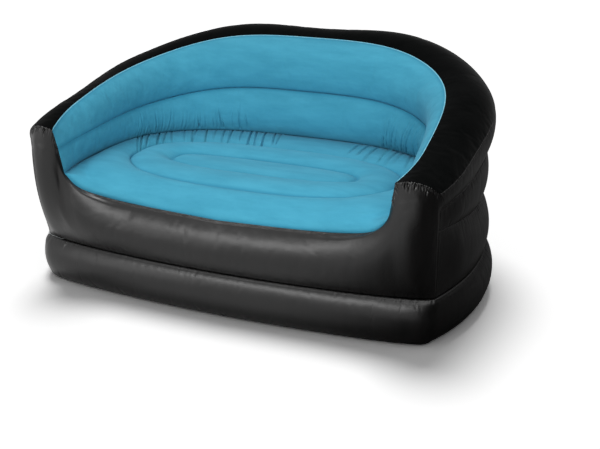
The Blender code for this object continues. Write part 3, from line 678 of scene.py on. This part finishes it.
def pleat_seat(columns, directions, width, depth, length, seed):
    """Narrow pleats that run forwards over the seat's border from the back, in directions that turn."""
    rng = np.random.default_rng(seed)
    grid = fine["seat_top"]
    columns = columns + rng.uniform(-1.2, 1.2, len(columns))
    starts = np.interp(columns, fine_columns["seat_top"], np.arange(grid.shape[1]))
    total = np.zeros(grid.shape[:2])
    for k, start in enumerate(starts):
        turn = k / (len(starts) - 1)
        towards = np.array(directions[0]) * (1 - turn) + np.array(directions[1]) * turn
        towards += rng.uniform(-0.06, 0.06, 2)
        towards /= np.linalg.norm(towards)
        this_width = width * rng.uniform(0.7, 1.3)
        this_length = length * rng.uniform(0.75, 1.15)
        from_start = grid[:, :, :2] - grid[0, int(start), :2]
        forwards = from_start @ towards
        sideways = (from_start @ np.array([towards[1], -towards[0]])) / this_width
        fade = rising(forwards, -0.02, 0.004) * (1 - rising(forwards, this_length * 0.7, this_length))
        total -= depth * rng.uniform(0.45, 1.25) * (1 - 1.2 * sideways ** 2) * np.exp(-sideways ** 2) * fade
    total *= rising(seam_distance(grid, 0), 0.0, 0.006) * rising(seam_distance(grid, OVAL_ROW), 0.002, 0.014)
    fine["seat_top"] = grid + normals_of(grid, True) * total[:, :, None]


pleat_seat(np.linspace(seat_left(0.41), seat_left(0.92), 19), ((0.50, -0.87), (0.30, -0.95)),
           width=0.0042, depth=0.0100, length=0.205, seed=11)
pleat_seat(np.linspace(seat_right(0.80), seat_right(0.55), 9), ((-0.10, -0.99), (0.14, -0.99)),
           width=0.0042, depth=0.0105, length=0.190, seed=13)

# Fine and coarse puckers over the arms' tops
ARM_TOPS = ((FRONT_MIDDLE * 2 - 40.0, FRONT_MIDDLE * 2.0), (0.0, 40.0))
for spacing, width, depth, reach, seed, spread in (
        (0.0080, 0.0021, 0.0048, 0.024, 17, 0.7), (0.0190, 0.0034, 0.0044, 0.036, 18, 0.5)):
    zones = [(*columns, spacing) for columns in ARM_TOPS]
    gather("front_panel", -1, zones, width, depth, reach, seed=seed, spread=spread)

# Small puckers along every other weld: panel, row, columns, spacing, width, depth, reach, seed and spread.
# The base's columns end past its last one, so that its puckers run right up to it.
FRONT_COLUMNS = (4.0, FRONT_MIDDLE * 2 - 4.0)
BASE_COLUMNS = (2.0, 514.0)
TUBE_COLUMNS = (2.0, 278.0)
TOP_COLUMNS = (1.0, 279.0)
for name, row, columns, spacing, width, depth, reach, seed, spread in (
        ("front_panel", 0, FRONT_COLUMNS, 0.021, 0.0046, 0.0011, 0.030, 19, 0.16),
        ("base_wall", -1, BASE_COLUMNS, 0.021, 0.0046, 0.0008, 0.024, 23, 0.16),
        ("base_wall", -1, BASE_COLUMNS, 0.085, 0.0060, 0.0009, 0.040, 24, 0.5),
        ("base_wall", 0, BASE_COLUMNS, 0.070, 0.0070, 0.0018, 0.060, 25, 0.5),
        ("lower_tube", 0, TUBE_COLUMNS, 0.026, 0.0050, 0.0010, 0.034, 29, 0.16),
        ("lower_tube", -1, TUBE_COLUMNS, 0.026, 0.0050, 0.0009, 0.034, 31, 0.16),
        ("middle_tube", 0, TUBE_COLUMNS, 0.026, 0.0050, 0.0009, 0.030, 37, 0.16),
        ("middle_tube", -1, TUBE_COLUMNS, 0.026, 0.0050, 0.0009, 0.030, 41, 0.16),
        ("top_tube_rim", 0, TOP_COLUMNS, 0.019, 0.0042, 0.0008, 0.022, 43, 0.16),
        ("top_tube_side", 0, TOP_COLUMNS, 0.026, 0.0046, 0.0009, 0.028, 47, 0.16),
        ("top_tube_side", -1, TOP_COLUMNS, 0.019, 0.0042, 0.0008, 0.020, 53, 0.16)):
    gather(name, row, ((*columns, spacing),), width, depth, reach, seed=seed, spread=spread)


def linear(colour):
    """An sRGB hex colour as linear values."""
    values = []
    for k in (1, 3, 5):
        value = int(colour[k:k + 2], 16) / 255
        values.append(value / 12.92 if value <= 0.04045 else ((value + 0.055) / 1.055) ** 2.4)
    return (*values, 1.0)


def feed(tree, fed, inputs):
    """Gives a node's sockets, by name or number, a value or the output that feeds them."""
    for key, value in inputs.items():
        if isinstance(value, bpy.types.NodeSocket):
            tree.links.new(value, fed.inputs[key])
        else:
            fed.inputs[key].default_value = value


def node(tree, kind, inputs=None, **settings):
    added = tree.nodes.new(kind)
    for key, value in settings.items():
        setattr(added, key, value)
    feed(tree, added, inputs or {})
    return added


def new_material(name):
    """A material, its tree, its shader and the object's own coordinates."""
    material = bpy.data.materials.new(name)
    material.use_nodes = True
    tree = material.node_tree
    return material, tree, tree.nodes["Principled BSDF"], object_place(tree)


def object_place(tree):
    return node(tree, "ShaderNodeTexCoord").outputs["Object"]


def noise(tree, place, scale, detail, roughness=0.5):
    inputs = {"Vector": place, "Scale": scale, "Detail": detail, "Roughness": roughness}
    return node(tree, "ShaderNodeTexNoise", inputs).outputs["Fac"]


def stretched(tree, place, scale):
    return node(tree, "ShaderNodeMapping", {"Vector": place, "Scale": scale}).outputs["Vector"]


def attribute(tree, name):
    return node(tree, "ShaderNodeAttribute", attribute_name=name).outputs["Fac"]


def mapped(tree, value, low, high, at_low, at_high, interpolation="LINEAR"):
    """A value's place between low and high as one between at_low and at_high."""
    inputs = {"Value": value, "From Min": low, "From Max": high, "To Min": at_low, "To Max": at_high}
    return node(tree, "ShaderNodeMapRange", inputs, interpolation_type=interpolation).outputs["Result"]


def calculated(tree, operation, *values):
    return node(tree, "ShaderNodeMath", dict(enumerate(values)), operation=operation).outputs[0]


def mixed_colour(tree, factor, colour, other):
    inputs = {0: factor, 6: colour, 7: linear(other)}
    return node(tree, "ShaderNodeMix", inputs, data_type="RGBA").outputs[2]


def bumped(tree, height, strength, distance, under=None):
    """A bump's normal, over that of the bump under it."""
    bump = node(tree, "ShaderNodeBump", {"Height": height, "Strength": strength, "Distance": distance})
    if under is not None:
        feed(tree, bump, {"Normal": under})
    return bump.outputs["Normal"]


def colour_ramp(tree, factor, stops):
    ramp = node(tree, "ShaderNodeValToRGB", {"Fac": factor})
    for element, (place, colour) in zip(ramp.color_ramp.elements, stops):
        element.position = place
        element.color = linear(colour)
    return ramp.outputs["Color"]


def calendered_black_vinyl():
    """Plasticised PVC sheet, rolled between hot calenders: even black, satin, faintly wavy."""
    material, tree, shader, place = new_material("calendered_black_vinyl")
    # Roll marks run up the panels, about 25 mm apart, and the sheet waves over some 90 mm
    streaks = noise(tree, stretched(tree, place, (40.0, 40.0, 3.0)), 1.0, 3.0)
    waves = noise(tree, place, 11.0, 2.0)
    # The calender grain is about 0.3 mm and is drawn at 1.2 mm so that it can show
    grain = noise(tree, place, 800.0, 1.0)
    # The sheet crinkles within 10 mm of a weld, every 5 mm or so, and is glossier within 7 mm
    folds = noise(tree, place, 170.0, 2.0)
    weld = attribute(tree, "weld_mm")
    crinkled = mapped(tree, weld, 2.0, 11.0, 1.0, 0.0)
    near_weld = mapped(tree, weld, 3.0, 7.0, 1.0, 0.0)
    satin = mapped(tree, streaks, 0.0, 1.0, 0.28, 0.40)
    normal = bumped(tree, calculated(tree, "MULTIPLY", folds, crinkled), 0.8, 0.003)
    normal = bumped(tree, grain, 0.10, 0.0004, normal)
    normal = bumped(tree, waves, 0.25, 0.006, normal)
    feed(tree, shader, {
        "Base Color": colour_ramp(tree, streaks, ((0.30, "#060606"), (0.75, "#0C0B0B"))),
        "Roughness": calculated(tree, "MULTIPLY_ADD", near_weld, -0.04, satin),
        "Specular IOR Level": 0.40, "Normal": bumped(tree, streaks, 0.42, 0.0018, normal)})
    return material


def blue_flocked_vinyl():
    """Short nylon fibres flocked on vinyl: a matte velour that darkens where the nap is brushed over."""
    material, tree, shader, place = new_material("blue_flocked_vinyl")
    # Brushed patches are 60 to 150 mm long and lie across the seat, and the fibres clump at about 2 mm
    nap = noise(tree, stretched(tree, place, (7.0, 24.0, 28.0)), 1.0, 4.0, roughness=0.6)
    clumps = noise(tree, place, 420.0, 2.0)
    brushed = colour_ramp(tree, nap, ((0.30, "#3687A2"), (0.68, "#499FBA")))
    colour = mixed_colour(tree, clumps, brushed, "#4398B3")
    # Painted shade darkens the blue over 18 mm beside each weld, standing in for the shade in its groove, and
    # the cut edge of the sheet is bare
    painted_weld_shade = mapped(tree, attribute(tree, "weld_mm"), 0.0, 18.0, 0.65, 0.0, "SMOOTHSTEP")
    bare = mapped(tree, attribute(tree, "rim_mm"), 1.6, 2.8, 1.0, 0.0)
    colour = mixed_colour(tree, painted_weld_shade, colour, "#2A7C9A")
    feed(tree, shader, {
        "Base Color": mixed_colour(tree, bare, colour, "#8CCBDD"), "Roughness": 0.95,
        "Specular IOR Level": 0.15, "Sheen Weight": 0.05, "Sheen Roughness": 0.5,
        "Normal": bumped(tree, nap, 0.45, 0.005, bumped(tree, clumps, 0.25, 0.0008))})
    return material


def black_flocked_vinyl():
    """The same flocking in black: it swallows light, so the rim shows almost no highlight."""
    material, tree, shader, place = new_material("black_flocked_vinyl")
    clumps = noise(tree, place, 420.0, 2.0)
    # Brushed patches some 40 to 100 mm across catch a little more light
    nap = noise(tree, place, 16.0, 4.0)
    brushed = colour_ramp(tree, nap, ((0.35, "#030404"), (0.65, "#090A0A")))
    feed(tree, shader, {
        "Base Color": mixed_colour(tree, clumps, brushed, "#050606"), "Roughness": 1.0,
        "Specular IOR Level": 0.02, "Sheen Weight": 0.08, "Sheen Roughness": 0.30,
        "Normal": bumped(tree, nap, 0.4, 0.004, bumped(tree, clumps, 0.25, 0.0008))})
    return material


def mottled(name, scale, detail, colours, roughness, bump=None, specular=0.5):
    """A plain plastic whose tone and bump follow one noise; a bump is its strength and its distance."""
    material, tree, shader, place = new_material(name)
    mottle = noise(tree, place, scale, detail)
    tone = colour_ramp(tree, mottle, ((0.3, colours[0]), (0.7, colours[1])))
    feed(tree, shader, {"Base Color": tone, "Roughness": roughness, "Specular IOR Level": specular})
    if bump is not None:
        feed(tree, shader, {"Normal": bumped(tree, mottle, *bump)})
    return material


black_vinyl = calendered_black_vinyl()
blue_flock = blue_flocked_vinyl()
black_flock = black_flocked_vinyl()
# Unpigmented PVC sheet of the inner webs: milky and smooth, faintly mottled
web_vinyl = mottled("clear_web_vinyl", 30.0, 2.0, ("#B9BDBF", "#CDD1D2"),
                    0.35, bump=(0.2, 0.002))
# Injection-moulded polyethylene of the valve: black, waxy, with a fine spark-eroded grain of 0.5 mm
valve_plastic = mottled("moulded_valve_plastic", 1500.0, 1.0, ("#28282A", "#323234"),
                        0.42, bump=(0.3, 0.0003))
# Soft moulded PVC of the caps, flaps and gaskets: dark grey and matte, dusted in patches of 5 mm
valve_rubber = mottled("moulded_valve_rubber", 200.0, 3.0, ("#343436", "#444446"),
                       0.65, bump=(0.2, 0.0002))
# Blue vinyl where no fibres stand, along the cut edge of the upper back
bare_edge = mottled("bare_blue_vinyl_edge", 60.0, 2.0, ("#5FB2CC", "#8CC9DB"), 0.5, specular=0.2)

FAR_MM = 99.0


def skin_piece(name, grid, closed, material, stands_for):
    """One welded panel as a sheet with its real thickness, riding on the sofa."""
    mesh = mesh_from(name, grid.reshape(-1, 3), grid_faces(*grid.shape[:2], closed))
    welds = (0, OVAL_ROW, INNER_ROW) if stands_for == "seat_top_sheet" else (0, -1)
    from_welds = np.min([seam_distance(grid, row) for row in welds], axis=0) * 1000
    from_rim = np.full(from_welds.shape, FAR_MM)
    if stands_for == "upper_back_sheet":
        from_rim = seam_distance(grid, 0) * 1000
    for attribute_name, values in (("weld_mm", from_welds), ("rim_mm", from_rim)):
        layer = mesh.attributes.new(attribute_name, "FLOAT", "POINT")
        layer.data.foreach_set("value", values.astype(np.float32).ravel())
    mesh.materials.append(material)
    mesh.shade_smooth()
    piece = link(bpy.data.objects.new(name, mesh))
    thickness = piece.modifiers.new("Sheet thickness", "SOLIDIFY")
    thickness.thickness = SHEET
    thickness.offset = -1.0
    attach(piece, "sofa")
    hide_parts(stands_for)
    return piece


for name, grid in fine.items():
    stands_for = "front_sheet" if name == "front_panel" else name + "_sheet"
    material, slot = black_vinyl, "black_vinyl"
    if name == "top_tube_rim":
        material = black_flock
    if name in BLUE_PANELS:
        material, slot = blue_flock, "blue_flock"
    skin_piece(name + "_skin", grid, name in closed_panels, material, stands_for)

# The seat's innermost ring is filled over its spine
seat_mesh = bpy.data.objects["seat_top_skin"].data
seat_shell = bmesh.new()
seat_shell.from_mesh(seat_mesh)
seat_shell.verts.ensure_lookup_table()
ring_first = len(seat_shell.verts) - fine["seat_top"].shape[1]
inner_edges = [edge for edge in seat_shell.edges if edge.is_boundary and edge.verts[0].index >= ring_first]
bmesh.ops.triangle_fill(seat_shell, use_beauty=True, edges=inner_edges, normal=(0.0, 0.0, 1.0))
for face in seat_shell.faces:
    face.smooth = True
seat_shell.to_mesh(seat_mesh)
seat_shell.free()


def drawn_back(rows, distance):
    """A strip between two lines with both its edges drawn back from the welds."""
    step = rows[1] - rows[0]
    step /= np.linalg.norm(step, axis=1)[:, None]
    return np.array([rows[0] + step * distance, rows[1] - step * distance])


lower_back, seat_top = panels["lower_back"], panels["seat_top"]
lower_web = drawn_back(np.array([lower_back[-1], panels["lower_tube"][-1]]), WEB_CLEARANCE)[:, 1:-1]
upper_web = drawn_back(np.array([lower_back[0], panels["middle_tube"][-1]]), WEB_CLEARANCE)[:, 1:-1]
web_rings = {"lower_waist_web": (lower_web, False), "upper_waist_web": (upper_web, False)}
for name, row in (("outer_oval_web", outer_oval_row), ("inner_oval_web", inner_oval_row)):
    head = seat_top[row] - np.array([0.0, 0.0, SHEET + WEB_CLEARANCE])
    foot = np.column_stack([head[:, :2], np.full(len(head), PINCH_HEIGHT + WEB_CLEARANCE)])
    web_rings[name] = (np.array([foot, head]), True)
for name, (grid, closed) in web_rings.items():
    skin_piece(name + "_skin", grid, closed, web_vinyl, name)


# Beads and ribs by Geometry Nodes
def growing_tree(name, inputs):
    """A tree that takes a geometry, the given inputs and a finish, and what comes into it."""
    tree = bpy.data.node_groups.new(name, "GeometryNodeTree")
    for label, kind in {"Geometry": "Geometry", **inputs, "Finish": "Material"}.items():
        tree.interface.new_socket(label, in_out="INPUT", socket_type="NodeSocket" + kind)
    tree.interface.new_socket("Geometry", in_out="OUTPUT", socket_type="NodeSocketGeometry")
    return tree, node(tree, "NodeGroupInput").outputs


def finished(tree, given, parts):
    """The tree, ended: its parts are made real, take the finish and go out."""
    real = node(tree, "GeometryNodeRealizeInstances", {"Geometry": parts})
    coated = node(tree, "GeometryNodeSetMaterial", {
        "Geometry": real.outputs["Geometry"], "Material": given["Finish"]})
    node(tree, "NodeGroupOutput", {"Geometry": coated.outputs["Geometry"]})
    return tree


def swept_bead():
    """A round bead along a curve: its radius and its finish are inputs."""
    tree, given = growing_tree("swept_bead", {"Bead radius": "Float"})
    profile = node(tree, "GeometryNodeCurvePrimitiveCircle", {
        "Resolution": 8, "Radius": given["Bead radius"]})
    swept = node(tree, "GeometryNodeCurveToMesh", {
        "Curve": given["Geometry"], "Profile Curve": profile.outputs["Curve"], "Fill Caps": True})
    return finished(tree, given, swept.outputs["Mesh"])


def ring_of_ribs():
    """Upright ribs round a circle: count, circle radius and rib size are inputs."""
    tree, given = growing_tree("ring_of_ribs", {
        "Rib count": "Int", "Circle radius": "Float", "Rib size": "Vector"})
    circle = node(tree, "GeometryNodeMeshCircle", {
        "Vertices": given["Rib count"], "Radius": given["Circle radius"]})
    rib = node(tree, "GeometryNodeMeshCube", {"Size": given["Rib size"]})
    outward = node(tree, "FunctionNodeAlignRotationToVector", {
        "Vector": node(tree, "GeometryNodeInputPosition").outputs["Position"]}, axis="X")
    ribs = node(tree, "GeometryNodeInstanceOnPoints", {
        "Points": circle.outputs["Mesh"], "Instance": rib.outputs["Mesh"],
        "Rotation": outward.outputs["Rotation"]})
    return finished(tree, given, ribs.outputs["Instances"])


def grown(name, source, tree, values, place=None):
    """What a Geometry Nodes tree makes of an object, as a plain mesh object."""
    modifier = source.modifiers.new("Growth", "NODES")
    modifier.node_group = tree
    for socket in tree.interface.items_tree:
        if socket.in_out == "INPUT" and socket.name in values:
            modifier[socket.identifier] = values[socket.name]
    bpy.context.view_layer.update()
    mesh = bpy.data.meshes.new_from_object(source.evaluated_get(bpy.context.evaluated_depsgraph_get()))
    bpy.data.objects.remove(source)
    if place is not None:
        mesh.transform(place)
    mesh.name = name
    return link(bpy.data.objects.new(name, mesh))


def curve_through(name, points):
    data = bpy.data.curves.new(name, "CURVE")
    data.dimensions = "3D"
    spline = data.splines.new("POLY")
    spline.points.add(len(points) - 1)
    spline.points.foreach_set("co", np.column_stack([points, np.ones(len(points))]).ravel())
    return link(bpy.data.objects.new(name, data))


# Bead along the bare cut edge of the blue rim
BEAD_RADIUS = 0.0012
rim_curve = curve_through("rim_edge", fine["upper_back"][0][2:-2])
rim_bead = grown("rim_edge_bead", rim_curve, swept_bead(), {"Bead radius": BEAD_RADIUS, "Finish": bare_edge})
rim_bead.data.shade_smooth()
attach(rim_bead, "sofa")

# Valves: the turned solids stay, with grip ribs round each plug's head
HEAD_RADIUS = 0.0180
HEAD_MIDDLE = 0.0075
RIB_COUNT = 30
RIB_SIZE = (0.0012, 0.0014, 0.0042)
joints = {joint["name"]: joint for joint in frame["joints"]}
rib_tree = ring_of_ribs()
for valve in ("base_valve", "seat_valve"):
    turn = joints[valve + "_turn"]
    out = Vector(turn["axis"]).normalized()
    side = Vector((0.0, 0.0, 1.0)).cross(out).normalized()
    valve_frame = Matrix((side, out.cross(side), out)).transposed().to_4x4()
    valve_frame.translation = Vector(turn["pos_m"])
    start = link(bpy.data.objects.new(valve + "_rib_start", bpy.data.meshes.new(valve + "_rib_start")))
    ribs = grown(valve + "_grip_ribs", start, rib_tree, {
        "Rib count": RIB_COUNT, "Circle radius": HEAD_RADIUS, "Rib size": RIB_SIZE, "Finish": valve_plastic},
        valve_frame @ Matrix.Translation((0.0, 0.0, HEAD_MIDDLE)))
    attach(ribs, valve + "_plug")

finishes = {"valve_plastic": valve_plastic, "valve_rubber": valve_rubber, "web_vinyl": web_vinyl,
            "black_vinyl": black_vinyl, "blue_flock": blue_flock}
for part in frame["record"]["subparts"]:
    carried = frame["nodes"][part["node"]]
    carried.data.materials.clear()
    carried.data.materials.append(finishes[part["material_slot"]])

# Studio: a pale floor that keeps the shadow, a white surround, and soft lamps. The floor and the surround
# look white, and throw back less light than they show.
scene = bpy.context.scene
scene.view_settings.view_transform = "Standard"
FLOOR_HALF = 20.0
FLOOR_Z = -0.001
FLOOR_GREY = 0.75
FLOOR_SEEN = 1.72
AMBIENT = 0.22
SQUARE = [(0, 1, 2, 3)]


def grey(level):
    return (level, level, level, 1.0)


def level_corners(low_x, high_x, low_y, high_y, z):
    return [(low_x, low_y, z), (high_x, low_y, z), (high_x, high_y, z), (low_x, high_y, z)]


def stage_piece(name, corners, faces, only_reflected=False):
    """A piece of the studio, which may be hidden from everything but reflections."""
    mesh = bpy.data.meshes.new(name)
    mesh.from_pydata(corners, [], faces)
    piece = link(bpy.data.objects.new(name, mesh))
    if only_reflected:
        piece.visible_camera = False
        piece.visible_diffuse = False
        piece.visible_transmission = False
        piece.visible_shadow = False
    return piece


def empty_tree(owner):
    owner.use_nodes = True
    owner.node_tree.nodes.clear()
    return owner.node_tree


def painted(piece, name):
    """The empty tree of a new material on a piece."""
    material = bpy.data.materials.new(name)
    piece.data.materials.append(material)
    return empty_tree(material)


def matte(tree, colour):
    return node(tree, "ShaderNodeBsdfDiffuse", {"Color": colour}).outputs[0]


def blended(tree, factor, shader, other):
    return node(tree, "ShaderNodeMixShader", {0: factor, 1: shader, 2: other}).outputs[0]


def seen_directly(tree):
    """1 to the camera, in reflections and through clear things, and 0 to the light that falls on the sofa."""
    path = node(tree, "ShaderNodeLightPath").outputs
    seen = calculated(tree, "MAXIMUM", path["Is Camera Ray"], path["Is Glossy Ray"])
    return calculated(tree, "MAXIMUM", seen, path["Is Transmission Ray"])


floor_corners = level_corners(-FLOOR_HALF, FLOOR_HALF, -FLOOR_HALF, FLOOR_HALF, FLOOR_Z)
floor = stage_piece("studio_floor", floor_corners, SQUARE)
tree = painted(floor, "painted_studio_floor")
plain_floor, white_floor = matte(tree, grey(FLOOR_GREY)), matte(tree, grey(FLOOR_SEEN))
floor_shader = blended(tree, seen_directly(tree), plain_floor, white_floor)
node(tree, "ShaderNodeOutputMaterial", {"Surface": floor_shader})

scene.world = bpy.data.worlds.new("white_surround")
tree = empty_tree(scene.world)
soft_light = node(tree, "ShaderNodeBackground", {"Color": grey(1.0), "Strength": AMBIENT}).outputs[0]
white = node(tree, "ShaderNodeBackground", {"Color": grey(1.0), "Strength": 1.0}).outputs[0]
node(tree, "ShaderNodeOutputWorld", {"Surface": blended(tree, seen_directly(tree), soft_light, white)})


def aimed(direction):
    """A rotation whose -Z axis points along a direction."""
    return Vector(direction).to_track_quat("-Z", "Y").to_euler()


lit_by_boxes = bpy.data.collections.new("lit_by_softboxes")
for piece in scene.objects:
    if piece.type == "MESH" and piece is not floor:
        lit_by_boxes.objects.link(piece)


def softbox(name, place, target, size, watts):
    """A lamp with a diffuser, flagged off the floor, so that the floor keeps its shadow."""
    lamp = bpy.data.lights.new(name, "AREA")
    lamp.shape = "RECTANGLE"
    lamp.size, lamp.size_y = size
    lamp.energy = watts
    box = link(bpy.data.objects.new(name, lamp))
    box.location = place
    box.rotation_euler = aimed(Vector(target) - Vector(place))
    box.light_linking.receiver_collection = lit_by_boxes
    return box


softbox("front_softbox", place=(-0.75, -4.2, 2.9), target=(0.05, -0.4, 0.25), size=(4.3, 0.9), watts=118.0)
softbox("top_softbox", place=(1.1, -1.5, 2.8), target=(-0.2, 0.0, 0.45), size=(1.3, 1.3), watts=14.0)
fill = softbox("front_fill", place=(2.1, -3.1, 1.1), target=(-0.4, 0.1, 0.45), size=(1.6, 1.2), watts=46.0)
fill.visible_glossy = False
reflector = softbox("left_reflector", place=(-3.4, -4.2, 1.5), target=(0.2, -0.3, 0.3), size=(2.4, 2.2),
                    watts=28.0)
reflector.visible_diffuse = False
sun = bpy.data.lights.new("overhead_light", "SUN")
sun.energy = 1.38
sun.angle = radians(27)
overhead = link(bpy.data.objects.new("overhead_light", sun))
overhead.rotation_euler = aimed((0.21, -0.34, -1.0))

# A dark card beside the right arm, which only reflections show, keeps that side of the vinyl black. Parts
# of it stand up at its right, behind the sofa and towards the camera. It fades in from its left edge, and
# lightens towards the back.
CARD_Z = 0.001
CARD_NEAR, CARD_FULL, CARD_FAR = 0.10, 0.75, 2.6
CARD_FRONT, CARD_BACK, CARD_TOP = -1.9, 2.6, 2.0
WING_X, WING_Y, WING_TOP = 1.9, -4.0, 3.2
DARKEST_Y, DARKEST, LIGHTEST = -1.5, 0.01, 0.28
card = stage_piece("dark_card", level_corners(CARD_NEAR, CARD_FAR, CARD_FRONT, CARD_BACK, CARD_Z) + [
    (CARD_FAR, CARD_FRONT, CARD_TOP), (CARD_FAR, CARD_BACK, CARD_TOP), (WING_X, WING_Y, CARD_Z),
    (WING_X, WING_Y, WING_TOP), (CARD_FAR, CARD_FRONT, WING_TOP), (CARD_NEAR, CARD_BACK, CARD_TOP)],
    [(0, 1, 2, 3), (1, 4, 5, 2), (6, 7, 8, 1), (3, 2, 5, 9)], only_reflected=True)
tree = painted(card, "black_card")
along = node(tree, "ShaderNodeSeparateXYZ", {0: object_place(tree)}).outputs
card_share = mapped(tree, along["X"], CARD_NEAR, CARD_FULL, 0.0, 1.0, "SMOOTHSTEP")
card_tone = matte(tree, mapped(tree, along["Y"], DARKEST_Y, CARD_BACK, DARKEST, LIGHTEST))
clear_edge = node(tree, "ShaderNodeBsdfTransparent").outputs[0]
node(tree, "ShaderNodeOutputMaterial", {"Surface": blended(tree, card_share, clear_edge, card_tone)})

# A grey card on the floor beside the left arm keeps the white floor out of that side's reflections
LEFT_CARD_GREY = 0.22
left_corners = level_corners(-2.5, -0.72, -0.25, 1.4, CARD_Z)
left_card = stage_piece("left_card", left_corners, SQUARE, only_reflected=True)
tree = painted(left_card, "grey_card")
node(tree, "ShaderNodeOutputMaterial", {"Surface": matte(tree, grey(LEFT_CARD_GREY))})

# Camera at the photograph's viewing angle: 22.5 degrees round, 21.3 degrees up
AZIMUTH = radians(22.5)
ELEVATION = radians(21.3)
DISTANCE = 3.154
TARGET = Vector((0.168, -0.219, 0.229))
SENSOR_WIDTH = 36.0
FOCAL_LENGTH_PIXELS = 955
PHOTOGRAPH_WIDTH_PIXELS = 600
look = Vector((-sin(AZIMUTH) * cos(ELEVATION), cos(AZIMUTH) * cos(ELEVATION), -sin(ELEVATION)))
camera_data = bpy.data.cameras.new("camera")
camera_data.sensor_width = SENSOR_WIDTH
camera_data.lens = FOCAL_LENGTH_PIXELS * SENSOR_WIDTH / PHOTOGRAPH_WIDTH_PIXELS
camera_data.clip_end = 100.0
camera = link(bpy.data.objects.new("camera", camera_data))
camera.location = TARGET - look * DISTANCE
camera.rotation_euler = aimed(look)
scene.camera = camera

bpy.context.view_layer.update()
